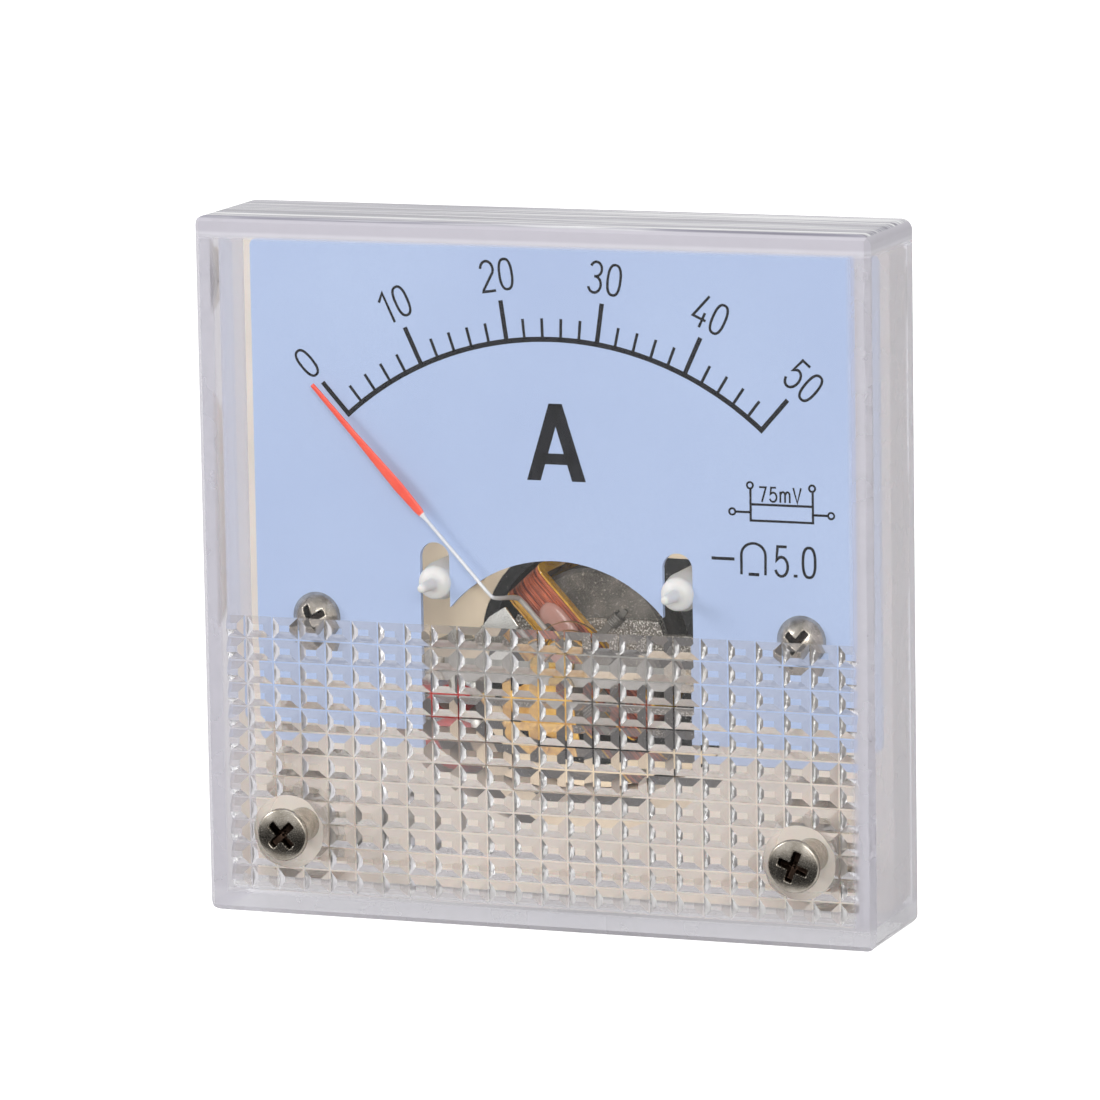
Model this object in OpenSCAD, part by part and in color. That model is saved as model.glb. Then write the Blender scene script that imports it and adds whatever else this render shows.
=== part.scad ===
// Small square moving-coil panel meter.
// Frame: the origin is the centre of the face that seats on the panel. +Y points into the panel,
// so the window faces -Y, and +Z is up. All sizes are in millimetres.

/* [Front cover] */
// Width and height of the square front cover
cover_size = 45; // [44:0.5:52]
// Depth of the cover in front of the panel
cover_depth = 8.7; // [8:0.1:12]
// Thickness of the cover's side walls
cover_wall = 1.3; // [0.9:0.1:1.6]
// Thickness of the clear window
window_t = 1.5; // [1.1:0.1:1.9]
// Radius of the cover's upright corners
corner_r = 0.7; // [0.3:0.1:1.2]
// Bevel round the window's front edge
edge_bevel = 0.35; // [0.1:0.05:0.6]

/* [Prism grid] */
// Height of the grid's top edge, from the centre
prism_top = -3.25; // [-5:0.05:-2]
// Spacing of the upright ridges
prism_pitch_x = 1.81; // [1.5:0.01:2.6]
// Spacing of the level ridges
prism_pitch_z = 1.49; // [1.3:0.01:2.4]
// Depth of each pit in the window's inner face
prism_depth = 0.4; // [0.2:0.05:0.6]
// Width of the flat at the bottom of a pit
prism_flat_x = 0.7; // [0.3:0.05:0.8]
// Height of the flat at the bottom of a pit
prism_flat_z = 0.4; // [0.2:0.05:0.6]
// Width of the flat land along a ridge's top
prism_land = 0.1; // [0.05:0.01:0.15]
// Radius of the plain post round each cover screw
cover_post_r = 2.4; // [2.2:0.1:2.7]

/* [Dial] */
// Thickness of the dial plate
dial_t = 0.4; // [0.3:0.05:0.6]
// Gap between the dial plate's edges and the cover's walls
dial_edge = 0.7; // [0.4:0.1:1]
// Height of the dial plate's bottom edge, from the centre
dial_bottom = -10.8; // [-11.5:0.1:-10]
// Radius of the arch cut over the movement
arch_r = 9.5; // [9:0.1:10]
// Height of the top of the arch, from the centre
arch_top = 0.55; // [0.2:0.05:1]
// Distance of each dial screw from the dial's side
dial_screw_in = 4.1; // [3.8:0.1:4.5]
// Height of the dial screws, from the centre
dial_screw_z = -3.8; // [-5:0.1:-3]

/* [Base housing] */
// Depth of the tray inside the cover
tray_depth = 3.4; // [3.2:0.1:4]
// Thickness of the tray's rim
tray_wall = 1.2; // [0.9:0.1:1.5]
// Thickness of the tray's floor
tray_floor = 1.4; // [1.2:0.1:1.8]
// Outer radius of the round barrel behind the panel
barrel_r = 16.8; // [16.7:0.1:17.2]
// Thickness of the barrel's wall
barrel_wall = 1.3; // [1:0.1:1.5]
// Thickness of the barrel's rear wall
barrel_floor = 1.5; // [1.2:0.1:2]
// Gap between tray and cover
tray_gap = 0.1; // [0.05:0.05:0.2]

/* [Pointer] */
// Height of the pivot axis, from the centre
pivot_z = -6.3; // [-6.6:0.1:-6]
// Gap between the dial and the pointer's middle plane
pointer_gap = 0.7; // [0.6:0.05:0.9]
// Radius from the pivot to the pointer's tip
pointer_r = 23.9; // [23:0.1:24.5]
// Radius at which the flattened red end begins
blade_r = 13; // [12:0.1:14]
// Widest part of the flattened end
blade_w = 0.76; // [0.6:0.02:0.9]
// Width of the flattened end at its tip
tip_w = 0.38; // [0.3:0.02:0.5]
// Thickness of the flattened end
blade_t = 0.2; // [0.15:0.05:0.3]
// Radius of the pointer's thin tube
tube_r = 0.18; // [0.15:0.01:0.22]
// Angle of the pointer at rest, left of upright
rest_angle = 42.35; // [40:0.05:44]

/* [Pointer stops] */
// Radius from the pivot to each stop post
stop_r = 9.66; // [9.5:0.02:9.8]
// Angle of each stop post from upright
stop_angle = 58.1; // [57.5:0.1:59]
// Diameter of a stop post's body
stop_d = 1.7; // [1.5:0.05:1.8]
// Diameter of a stop post's base behind the dial
stop_base_d = 2.5; // [2:0.1:2.7]
// Diameter of a stop post's thin nose
nose_d = 0.76; // [0.6:0.02:0.9]
// Length of the nose in front of the dial
nose_len = 1.7; // [1.5:0.1:2]

/* [Moving coil] */
// Radius of the core magnet
core_r = 5.3; // [5:0.1:5.4]
// Length of the core magnet
core_len = 5.4; // [5:0.1:6]
// Width of the coil's winding
coil_w = 2.7; // [2.4:0.1:2.9]
// Thickness of the winding
winding_t = 0.6; // [0.4:0.05:0.7]
// Thickness of the coil former
former_t = 0.1; // [0.08:0.01:0.15]
// Air gap on each side of the moving coil
coil_air = 0.25; // [0.2:0.05:0.35]

/* [Movement] */
// Gap between the dial plate and the front bridge
bridge_clear = 0.5; // [0.4:0.05:0.8]
// Thickness of the bridges
bridge_t = 0.8; // [0.6:0.05:1]
// Height of the bridges' bars
bridge_h = 3; // [2.6:0.1:3.2]
// Gap between the front bridge and the coil
bridge_gap = 3.1; // [3:0.1:3.6]
// Thickness of the straps that hold the core
strap_t = 0.6; // [0.4:0.05:0.8]
// Half the height of the front strap over the core
strap_half = 2.2; // [1.8:0.1:2.6]
// Wall of the steel yoke on its thin side
yoke_wall = 0.8; // [0.6:0.05:1]
// Reach of the yoke's block to the right of the pivot
yoke_reach = 10.2; // [9.9:0.1:10.3]
// Half the height of the yoke's block
yoke_half = 6.2; // [6:0.1:6.5]
// Thickness of the movement's moulded frame
frame_t = 2.6; // [2:0.1:3]
// Height of the frame's plate, from the centre
plate_top = 3.2; // [2.5:0.1:3.4]
// Radius of the feet of the bridges
foot_r = 1; // [0.9:0.05:1.1]
// Radius of the ears that are screwed to the base
ear_r = 1.5; // [1.4:0.1:1.6]
// Radius of the pivot staffs
staff_r = 0.25; // [0.2:0.01:0.3]
// Radius of the jewel screws
jewel_r = 0.8; // [0.7:0.05:0.9]
// Turns of each hairspring
spring_turns = 4; // [3:1:5]
// Outer radius of each hairspring
spring_r = 2.9; // [2.6:0.1:3]
// Thickness of the hairspring's strip
spring_t = 0.1; // [0.08:0.01:0.14]
// Width of the hairspring's strip
spring_w = 0.25; // [0.2:0.05:0.35]
// Thickness of the sheet parts in the movement
sheet_t = 0.25; // [0.2:0.05:0.3]

/* [Screws] */
// Diameter of the cover screws
cover_screw_d = 2; // [1.6:0.1:2.2]
// Distance of each cover screw from the cover's edges
cover_screw_in = 5.25; // [5:0.05:5.7]
// Diameter of the dial screws
dial_screw_d = 1.6; // [1.4:0.1:2]
// Diameter of the screws in the movement
frame_screw_d = 1.6; // [1.4:0.1:1.8]
// Diameter of the small bridge screws
bridge_screw_d = 1.2; // [1:0.1:1.4]

/* [Studs] */
// Diameter of the mounting studs
mount_stud_d = 3; // [2.9:0.1:3.2]
// Distance of each mounting stud from the cover's edges
mount_stud_in = 5.5; // [5.2:0.1:5.9]
// Length of the mounting studs behind the panel face
mount_stud_len = 10.5; // [9.5:0.5:12]
// Diameter of the terminal studs
terminal_d = 4; // [3.8:0.1:4]
// Distance of each terminal stud from the middle
terminal_x = 10; // [9:0.5:11]
// Length of the terminal studs behind the barrel
terminal_len = 10; // [9:0.5:14]
// Thickness of the panel or lug that each stud's plain part takes
grip_t = 3.2; // [2.5:0.1:4]
// Thickness of a wire lug on a terminal
lug_room = 2; // [1.5:0.1:3]
// Diameter of the insulated wires inside
wire_d = 0.9; // [0.7:0.1:1.1]

/* [Hidden] */
$fn = 48;
eps = 0.01;
fit = 0.03;       // gap between pieces that are pressed or glued together
screw_gap = 0.05; // gap round a screw's shank

// What follows from the cover's size
dial_w = cover_size - 2 * (cover_wall + dial_edge);
dial_top = cover_size / 2 - cover_wall - dial_edge + 0.1;
dial_screw_x = dial_w / 2 - dial_screw_in;
cover_screw_at = cover_size / 2 - cover_screw_in;
mount_stud_at = cover_size / 2 - mount_stud_in;
room_r = barrel_r - barrel_wall - 0.2; // what the movement may fill inside the barrel

// Levels along Y, from the window back to the terminals
front_y = -cover_depth;
window_y = front_y + window_t;
pit_y = window_y - prism_depth;
dial_back = -tray_depth;
dial_front = dial_back - dial_t;
pointer_y = dial_front - pointer_gap;
bridge_front = dial_back + bridge_clear;
bridge_back = bridge_front + bridge_t;
coil_front = bridge_back + bridge_gap;
coil_inner_front = coil_front + winding_t + former_t;
core_front = coil_inner_front + coil_air + strap_t;
core_back = core_front + core_len;
coil_inner_back = core_back + strap_t + coil_air;
coil_back = coil_inner_back + winding_t + former_t;
frame_back = core_front + frame_t;
rear_gap = 1.3;
rear_bridge_y = coil_back + rear_gap;
rear_bridge_back = rear_bridge_y + bridge_t;
jewel_proud = 0.6;
barrel_inner = rear_bridge_back + jewel_proud + 1.3;
barrel_y = barrel_inner + barrel_floor;

// Sizes across the movement
coil_half_in = core_r + coil_air;
coil_half = coil_half_in + former_t + winding_t;
flange_t = 0.12;
coil_half_w = coil_w / 2 + flange_t;
yoke_bore = norm([coil_half + 0.05, coil_half_w]) + coil_air;
yoke_r = yoke_bore + yoke_wall;
foot_x = yoke_r + foot_r + 0.45;
ear_x = foot_x + foot_r + ear_r + 0.75;
stop_x = stop_r * sin(stop_angle);
stop_z = pivot_z + stop_r * cos(stop_angle);
tray_half = cover_size / 2 - cover_wall - tray_gap;
prism_half = cover_size / 2 - cover_wall;
cross_y = bridge_back + 1.2;
spring_front_y = bridge_back + 0.45;
spring_back_y = rear_bridge_y - 0.45 - spring_w;
cup_r = 0.35;
bridge_head_t = bridge_clear - 0.1;
leg_r = foot_r - 0.1;
lug_tail = 4.8;
front_arm_turn = -65;
rear_arm_turn = 90;
tail_len = 1.3;
side_len = 1.2;
terminal_head_t = 0.9;
tab_y = coil_front - 0.45 - sheet_t;
pin_reach = spring_r + spring_t / 2 + 0.22;
side_arm = pin_reach + 0.28 + side_len + 0.1;

// Routes of the inner wires, from the movement to the terminals' lugs
red_route = [[-7.4, tab_y - wire_d / 2 - 0.02, -9], [-8, 0.2, -10.4], [-9.2, 2, -11],
             [-9.6, 6, -10.6], [-8.8, 10, -9.6], [-6.6, 12.6, -8], [-5.6, 12.9, -4.6],
             [-5.6, barrel_inner - sheet_t - wire_d / 2 - 0.02, -0.2]];
black_route = [[0.5, rear_bridge_y - sheet_t - wire_d / 2 - 0.1, pivot_z + 3.9], [1, 10.6, -0.6],
               [3, 12, 0.8], [5.4, barrel_inner - sheet_t - wire_d / 2 - 0.02, 0.2]];

// ---- Helpers ----

// A flat outline, drawn in X and Z, made thick from y0 to y1
module slab(y0, y1) {
    translate([0, y1, 0]) rotate([90, 0, 0]) linear_extrude(y1 - y0) children();
}

// A round bar along Y from y0 to y1
module rod(r, y0, y1) {
    translate([0, y1, 0]) rotate([90, 0, 0]) cylinder(r = r, h = y1 - y0);
}

// A turned piece on the Y axis, from points of [radius, y]
module turned(profile) {
    rotate([90, 0, 0]) rotate_extrude() polygon([for (p = profile) [p[0], -p[1]]]);
}

// The pivot's own frame: the pivot axis at the origin
module at_pivot() {
    translate([0, 0, pivot_z]) children();
}

// Moving pieces are drawn with the pointer upright and turned to the rest angle
module at_rest() {
    at_pivot() rotate([0, -rest_angle, 0]) children();
}

// Copies at the left and the right
module both_sides(x, z = 0) {
    for (side = [-1, 1]) translate([side * x, 0, z]) children();
}

// A rectangle about the origin, with round corners
module rounded(w, h, r) {
    square([w - 2 * r, h], center = true);
    square([w, h - 2 * r], center = true);
    for (x = [-1, 1], z = [-1, 1]) translate([x * (w / 2 - r), z * (h / 2 - r)]) circle(r);
}

// A bar with round ends from point a to point b
module link2d(a, b, r) {
    d = b - a;
    translate(a) rotate(atan2(d[1], d[0])) translate([0, -r]) square([norm(d), 2 * r]);
    translate(a) circle(r);
    translate(b) circle(r);
}

// Points round a circle that lies square to the direction d at point p
function ring_at(p, d, r, sides) =
    let (u = d / norm(d), v = cross(u, [0.31, 0.42, 0.85]), a = v / norm(v), b = cross(u, a))
    [for (i = [0 : sides - 1]) p + r * (cos(360 * i / sides) * a + sin(360 * i / sides) * b)];

// A smooth point on the route between p1 and p2, at share t
function on_route(p0, p1, p2, p3, t) =
    0.5 * (2 * p1 + (p2 - p0) * t + (2 * p0 - 5 * p1 + 4 * p2 - p3) * t * t
           + (3 * p1 - p0 - 3 * p2 + p3) * t * t * t);

function smooth(route, steps) =
    let (n = len(route))
    [for (i = [0 : n - 2], k = [0 : steps - 1])
        on_route(route[max(i - 1, 0)], route[i], route[i + 1], route[min(i + 2, n - 1)], k / steps),
     route[n - 1]];

// A wire of radius r along a route of points
module wire(route, r, sides = 8, steps = 3) {
    path = smooth(route, steps);
    n = len(path);
    rings = [for (i = [0 : n - 1])
        each ring_at(path[i], path[min(i + 1, n - 1)] - path[max(i - 1, 0)], r, sides)];
    walls = [for (i = [0 : n - 2], k = [0 : sides - 1])
        let (a = i * sides + k, b = i * sides + (k + 1) % sides)
        each [[a, b + sides, b], [a, a + sides, b + sides]]];
    polyhedron(rings, concat(walls,
        [[for (k = [0 : sides - 1]) k]],
        [[for (k = [sides - 1 : -1 : 0]) (n - 1) * sides + k]]));
}

// The shape of a flat spiral strip from radius r0 to r1
module spiral2d(r0, r1, turns, t) {
    steps = turns * 20;
    function at(i, side) =
        let (a = 360 * turns * i / steps, r = r0 + (r1 - r0) * i / steps + side * t / 2)
        [r * sin(a), r * cos(a)];
    polygon(concat([for (i = [0 : steps]) at(i, 1)], [for (i = [steps : -1 : 0]) at(i, -1)]));
}

// A cross-slotted pan head whose seat is at y, with its shank to y_end
module pan_screw(d, head_d, head_t, y, y_end) {
    difference() {
        turned([[0, y - head_t], [head_d / 2 - 0.35 * head_t, y - head_t],
                [head_d / 2 - 0.08 * head_t, y - 0.75 * head_t], [head_d / 2, y - 0.4 * head_t],
                [head_d / 2, y], [d / 2, y], [d / 2, y_end - 0.6 * d], [0.15 * d, y_end], [0, y_end]]);
        slab(y - head_t - eps, y - 0.3 * head_t) {
            square([0.52 * head_d, 0.15 * head_d], center = true);
            square([0.15 * head_d, 0.52 * head_d], center = true);
        }
    }
}

// A domed screw with one slot, its seat at y and its shank to y_end
module domed_screw(d, head_d, head_t, y, y_end) {
    difference() {
        turned([[0, y - head_t], [0.24 * head_d, y - 0.93 * head_t], [0.39 * head_d, y - 0.7 * head_t],
                [0.48 * head_d, y - 0.38 * head_t], [0.5 * head_d, y], [d / 2, y],
                [d / 2, y_end], [0, y_end]]);
        slab(y - head_t - eps, y - 0.5 * head_t) square([head_d, 0.16 * head_d], center = true);
    }
}

// A hexagon nut with bevelled corners, from y0 to y1
module hex_nut(flats, bore_r, y0, y1) {
    corner = flats / sqrt(3);
    difference() {
        intersection() {
            slab(y0, y1) circle(corner, $fn = 6);
            turned([[0, y0], [0.47 * flats, y0], [corner, y0 + 0.3], [corner, y1 - 0.3],
                    [0.47 * flats, y1], [0, y1]]);
        }
        rod(bore_r, y0 - eps, y1 + eps);
    }
}

// ---- Cover ----

module cover_block() {
    half = cover_size / 2;
    intersection() {
        slab(front_y, 0) rounded(cover_size, cover_size, corner_r);
        // the bevels on the left and right edges
        translate([0, 0, -half]) linear_extrude(cover_size)
            polygon([[-half, 0], [-half, front_y + edge_bevel], [-half + edge_bevel, front_y],
                     [half - edge_bevel, front_y], [half, front_y + edge_bevel], [half, 0]]);
        // the bevels on the top and bottom edges
        translate([-half, 0, 0]) rotate([90, 0, 90]) linear_extrude(cover_size)
            polygon([[0, -half], [front_y + edge_bevel, -half], [front_y, -half + edge_bevel],
                     [front_y, half - edge_bevel], [front_y + edge_bevel, half], [0, half]]);
    }
}

// The sharp ridges that cross between the pits, on the window's inner face
module prism_ridges() {
    reach_x = prism_half + eps;
    low = -prism_half - eps;
    half_x = (prism_pitch_x - prism_flat_x) / 2;
    half_z = (prism_pitch_z - prism_flat_z) / 2;
    land = prism_land / 2;
    columns = floor(prism_half / prism_pitch_x);
    rows = floor((prism_top - low) / prism_pitch_z);
    intersection() {
        translate([-reach_x, pit_y - eps, low]) cube([2 * reach_x, prism_depth + eps, prism_top - low]);
        union() {
            for (i = [-columns : columns]) translate([i * prism_pitch_x, pit_y, low])
                linear_extrude(prism_top - low)
                    polygon([[-half_x, -eps], [-half_x, 0], [-land, prism_depth], [land, prism_depth],
                             [half_x, 0], [half_x, -eps]]);
            for (i = [0 : rows]) translate([-reach_x, pit_y, prism_top - i * prism_pitch_z])
                rotate([90, 0, 90]) linear_extrude(2 * reach_x)
                    polygon([[-eps, -half_z], [0, -half_z], [prism_depth, -land], [prism_depth, land],
                             [0, half_z], [-eps, half_z]]);
        }
    }
}

module front_cover() {
    color([0.95, 0.96, 0.98, 0.3]) difference() {
        union() {
            difference() {
                cover_block();
                slab(window_y, eps) square(2 * prism_half, center = true);
                translate([-prism_half, pit_y, -prism_half])
                    cube([2 * prism_half, prism_depth + eps, prism_top + prism_half]);
            }
            prism_ridges();
            both_sides(cover_screw_at, -cover_screw_at) rod(cover_post_r, pit_y - eps, dial_back);
        }
        both_sides(cover_screw_at, -cover_screw_at)
            rod(cover_screw_d / 2 + screw_gap, front_y - eps, dial_back + eps);
    }
}

module cover_screws() {
    color([0.72, 0.7, 0.66]) {
        translate([-cover_screw_at, 0, -cover_screw_at]) rotate([0, 45, 0])
            pan_screw(cover_screw_d, 3.5, 0.9, front_y, -tray_floor - 0.2);
        translate([cover_screw_at, 0, -cover_screw_at]) rotate([0, -20, 0])
            pan_screw(cover_screw_d, 3.5, 0.9, front_y, -tray_floor - 0.2);
    }
}

// ---- Dial ----

module dial_outline() {
    difference() {
        translate([0, (dial_top + dial_bottom) / 2])
            rounded(dial_w, dial_top - dial_bottom, 0.5);
        // the arch over the movement
        intersection() {
            translate([0, arch_top - arch_r]) circle(arch_r, $fn = 96);
            square([2 * stop_x, 60], center = true);
        }
        // the open part below the arch
        translate([-stop_x, dial_bottom - 1])
            square([2 * stop_x, arch_top - arch_r - dial_bottom + 1 + 5.4]);
        // the slots that the stop posts stand in
        for (side = [-1, 1])
            link2d([side * stop_x, dial_bottom - 2], [side * stop_x, stop_z + 1.6], stop_d / 2 + 0.15);
        for (side = [-1, 1]) translate([side * dial_screw_x, dial_screw_z])
            circle(dial_screw_d / 2 + screw_gap);
    }
}

module dial_plate() {
    color([0.71, 0.78, 0.91]) slab(dial_front, dial_back) dial_outline();
}

module dial_screws() {
    color([0.78, 0.75, 0.7]) both_sides(dial_screw_x, dial_screw_z)
        domed_screw(dial_screw_d, 3.25, 1.1, dial_front, dial_back + 2.6);
}

// ---- Base housing ----

module base_housing() {
    color([0.86, 0.82, 0.74]) difference() {
        union() {
            // tray
            difference() {
                slab(dial_back, 0) rounded(2 * tray_half, 2 * tray_half, corner_r);
                slab(dial_back - eps, -tray_floor)
                    rounded(2 * (tray_half - tray_wall), 2 * (tray_half - tray_wall), corner_r);
            }
            // barrel
            rod(barrel_r, -tray_floor, barrel_y);
            // bosses under the cover screws and the dial screws
            both_sides(cover_screw_at, -cover_screw_at) rod(cover_post_r, dial_back, -tray_floor + eps);
            both_sides(dial_screw_x, dial_screw_z) rod(dial_screw_d / 2 + 1.2, dial_back, -tray_floor + eps);
        }
        // inside of the barrel, with the ribs, posts and bosses left standing
        difference() {
            rod(barrel_r - barrel_wall, dial_back - eps, barrel_inner);
            both_sides(dial_screw_x, dial_screw_z) rod(dial_screw_d / 2 + 1.2, dial_back, eps);
            both_sides(ear_x, pivot_z) rod(ear_r, frame_back, barrel_inner + eps);
        }
        // holes for the screws and the studs
        both_sides(cover_screw_at, -cover_screw_at)
            rod(cover_screw_d / 2 + screw_gap, dial_back - eps, -tray_floor);
        both_sides(dial_screw_x, dial_screw_z)
            rod(dial_screw_d / 2 + screw_gap, dial_back - eps, dial_back + 3);
        both_sides(ear_x, pivot_z) rod(frame_screw_d / 2 + screw_gap, frame_back - eps, frame_back + 5);
        both_sides(mount_stud_at, mount_stud_at)
            rod(mount_stud_d / 2 + 0.3 + fit, -tray_floor - eps, eps);
        both_sides(terminal_x) rod(terminal_d / 2 + 0.4 + fit, barrel_inner - eps, barrel_y + eps);
    }
}

// ---- Movement ----

module yoke_outline(grow = 0) {
    circle(yoke_r + grow, $fn = 96);
    translate([0, -yoke_half - grow]) square([yoke_reach + grow, 2 * (yoke_half + grow)]);
}

module movement_frame() {
    color([0.84, 0.79, 0.7]) at_pivot() difference() {
        union() {
            intersection() {
                slab(core_front, frame_back) {
                    circle(yoke_r + 1.5, $fn = 96);
                    translate([0, -yoke_half - 1.3])
                        square([yoke_reach + 1.3, 2 * (yoke_half + 1.3)]);
                    // the plate that shows beside the ring
                    translate([-ear_x, -ear_r]) square([ear_x, plate_top - pivot_z + ear_r]);
                }
                translate([0, 0, -pivot_z]) rod(room_r, core_front - 1, frame_back + 1);
            }
            both_sides(ear_x) rod(ear_r, core_front, frame_back);
            slab(core_front, frame_back) translate([-ear_x, -ear_r]) square([2 * ear_x, 2 * ear_r]);
        }
        slab(core_front - eps, frame_back + eps) yoke_outline(fit);
        both_sides(ear_x) rod(frame_screw_d / 2 + screw_gap, core_front - eps, frame_back + eps);
        translate([-foot_x, 0, 0]) rod(bridge_screw_d / 2 + screw_gap, core_front - eps, frame_back + eps);
        translate([-stop_x, 0, stop_z - pivot_z]) rod(0.45 + fit, core_front - eps, core_front + 1.5);
    }
}

module frame_screws() {
    color([0.72, 0.7, 0.66]) at_pivot() both_sides(ear_x)
        pan_screw(frame_screw_d, 2.6, 0.9, core_front, frame_back + 4.6);
}

module yoke() {
    color([0.08, 0.08, 0.09]) at_pivot() difference() {
        intersection() {
            slab(core_front, core_back) yoke_outline();
            translate([0, 0, -pivot_z]) rod(room_r - 0.1, core_front - 1, core_back + 1);
        }
        rod(yoke_bore, core_front - eps, core_back + eps, $fn = 96);
        translate([foot_x, 0, 0]) {
            rod(bridge_screw_d / 2 + screw_gap, core_front - eps, core_front + 2.2);
            rod(bridge_screw_d / 2 + screw_gap, core_back - 2.2, core_back + eps);
        }
        translate([stop_x, 0, stop_z - pivot_z]) rod(0.45 + fit, core_front - eps, core_front + 1.5);
    }
}

module core_magnet() {
    color([0.42, 0.41, 0.39]) at_pivot() turned([
        [0, core_front], [core_r - 0.25, core_front], [core_r, core_front + 0.25],
        [core_r, core_back - 0.25], [core_r - 0.25, core_back], [0, core_back]]);
}

// A strap across the core: wide over the core, narrow where the coil swings past
module strap_outline(half) {
    intersection() {
        circle(core_r, $fn = 96);
        square([2 * core_r, 2 * half], center = true);
    }
    square([2 * (yoke_r - 0.15), 2.6], center = true);
}

module front_strap() {
    color([0.5, 0.49, 0.47]) at_pivot() slab(core_front - strap_t, core_front) strap_outline(strap_half);
}

module rear_strap() {
    color([0.5, 0.49, 0.47]) at_pivot() slab(core_back, core_back + strap_t) strap_outline(1.3);
}

module front_bridge() {
    color([0.75, 0.74, 0.72]) at_pivot() difference() {
        union() {
            slab(bridge_front, bridge_back) {
                link2d([-foot_x, 0], [foot_x, 0], foot_r);
                circle(bridge_h / 2);
            }
            both_sides(foot_x) rod(leg_r, bridge_back - eps, core_front);
        }
        rod(jewel_r + fit, bridge_front - eps, bridge_back + eps);
        both_sides(foot_x) rod(bridge_screw_d / 2 + screw_gap, bridge_front - eps, core_front + eps);
    }
}

module rear_bridge() {
    color([0.75, 0.74, 0.72]) at_pivot() difference() {
        union() {
            slab(rear_bridge_y, rear_bridge_back) {
                link2d([-foot_x, 0], [foot_x, 0], foot_r);
                circle(bridge_h / 2);
            }
            translate([-foot_x, 0, 0]) rod(leg_r, frame_back, rear_bridge_y + eps);
            translate([foot_x, 0, 0]) rod(leg_r, core_back, rear_bridge_y + eps);
        }
        rod(jewel_r + fit, rear_bridge_y - eps, rear_bridge_back + eps);
        both_sides(foot_x) rod(bridge_screw_d / 2 + screw_gap, frame_back - eps, rear_bridge_back + eps);
    }
}

// Two screws hold each bridge. The rear ones are the same screws turned round.
module bridge_screws() {
    color([0.8, 0.72, 0.5]) at_pivot() {
        both_sides(foot_x)
            pan_screw(bridge_screw_d, 1.9, bridge_head_t, bridge_front, core_front + 1.8);
        translate([foot_x, 0, 0]) rotate([0, 0, 180])
            pan_screw(bridge_screw_d, 1.9, bridge_head_t, -rear_bridge_back, -core_back + 1.8);
        translate([-foot_x, 0, 0]) rotate([0, 0, 180])
            pan_screw(bridge_screw_d, 1.9, bridge_head_t, -rear_bridge_back, -frame_back + 0.5);
    }
}

// A screw with a conical cup that a pivot turns in. The cup faces +Y.
module jewel_screw(head_y, cup_y) {
    difference() {
        turned([[0, head_y], [jewel_r - 0.1, head_y], [jewel_r, head_y + 0.1], [jewel_r, cup_y],
                [cup_r, cup_y], [0, cup_y - cup_r]]);
        slab(head_y - eps, head_y + 0.25) square([2 * jewel_r + 1, 0.3], center = true);
    }
}

module front_jewel_screw() {
    color([0.82, 0.68, 0.36]) at_pivot() jewel_screw(bridge_front - jewel_proud, bridge_back + sheet_t);
}

module rear_jewel_screw() {
    color([0.82, 0.68, 0.36]) at_pivot() mirror([0, 1, 0])
        jewel_screw(-rear_bridge_back - jewel_proud, -rear_bridge_y + sheet_t);
}

// A sheet arm round a jewel screw, with a pin that holds the hairspring's outer end
module spring_arm(y0, pin_y, reach) {
    difference() {
        slab(y0, y0 + sheet_t) {
            circle(jewel_r + 0.8);
            link2d([0, 0], [-reach, 0], 0.5);
        }
        rod(jewel_r + fit, y0 - eps, y0 + sheet_t + eps);
    }
    translate([-pin_reach, 0, 0]) rod(0.2, min(y0, pin_y), max(y0 + sheet_t, pin_y));
}

module zero_arm() {
    color([0.78, 0.78, 0.8]) at_pivot() rotate([0, front_arm_turn, 0])
        spring_arm(bridge_back, spring_front_y + spring_w, 5.2);
}

module rear_spring_arm() {
    color([0.78, 0.78, 0.8]) at_pivot() rotate([0, rear_arm_turn, 0])
        spring_arm(rear_bridge_y - sheet_t, spring_back_y, 4.2);
}

// A nylon post: pressed in from the front, with a thin nose that stops the pointer
module stop_post() {
    translate([0, 0, 0]) turned([
        [0, pointer_y - 0.9], [0.6 * nose_d / 2, pointer_y - 0.9], [nose_d / 2, pointer_y - 0.7],
        [nose_d / 2, pointer_y + nose_len / 2 - 0.5], [stop_d / 2, dial_front + 0.25],
        [stop_d / 2, dial_back + 0.2], [stop_base_d / 2, dial_back + 0.5],
        [stop_base_d / 2, core_front], [0.45, core_front], [0.45, core_front + 1.4], [0, core_front + 1.4]]);
}

module stop_post_left() {
    color([0.93, 0.93, 0.9]) translate([-stop_x, 0, stop_z]) stop_post();
}

module stop_post_right() {
    color([0.93, 0.93, 0.9]) translate([stop_x, 0, stop_z]) stop_post();
}

// A tinned tab on the front bridge's left leg, where the red wire is soldered
module solder_tab() {
    color([0.9, 0.9, 0.88]) at_pivot() difference() {
        slab(tab_y, tab_y + sheet_t) polygon([[-foot_x - 1.5, -2.9], [-foot_x - 1.5, 1.5], [-6.3, 2.2],
            [-5.2, 2.9], [-4.3, 1.6], [-6.3, -1.2], [-6.3, -2.9]]);
        translate([-foot_x, 0, 0]) rod(leg_r + fit, tab_y - eps, tab_y + sheet_t + eps);
    }
}

// ---- Moving coil ----

module coil_loop(half_in, half_out, y_in0, y_in1, wall, r) {
    difference() {
        translate([0, (y_in0 + y_in1) / 2]) rounded(2 * half_out, y_in1 - y_in0 + 2 * wall, r);
        translate([0, (y_in0 + y_in1) / 2]) rounded(2 * half_in, y_in1 - y_in0, max(r - wall, 0.1));
    }
}

// The coil's outline lies in Z (radius) and Y, and is extruded along X
module along_coil(x0, x1) {
    translate([x0, 0, 0]) rotate([0, 90, 0]) linear_extrude(x1 - x0) children();
}

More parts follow.
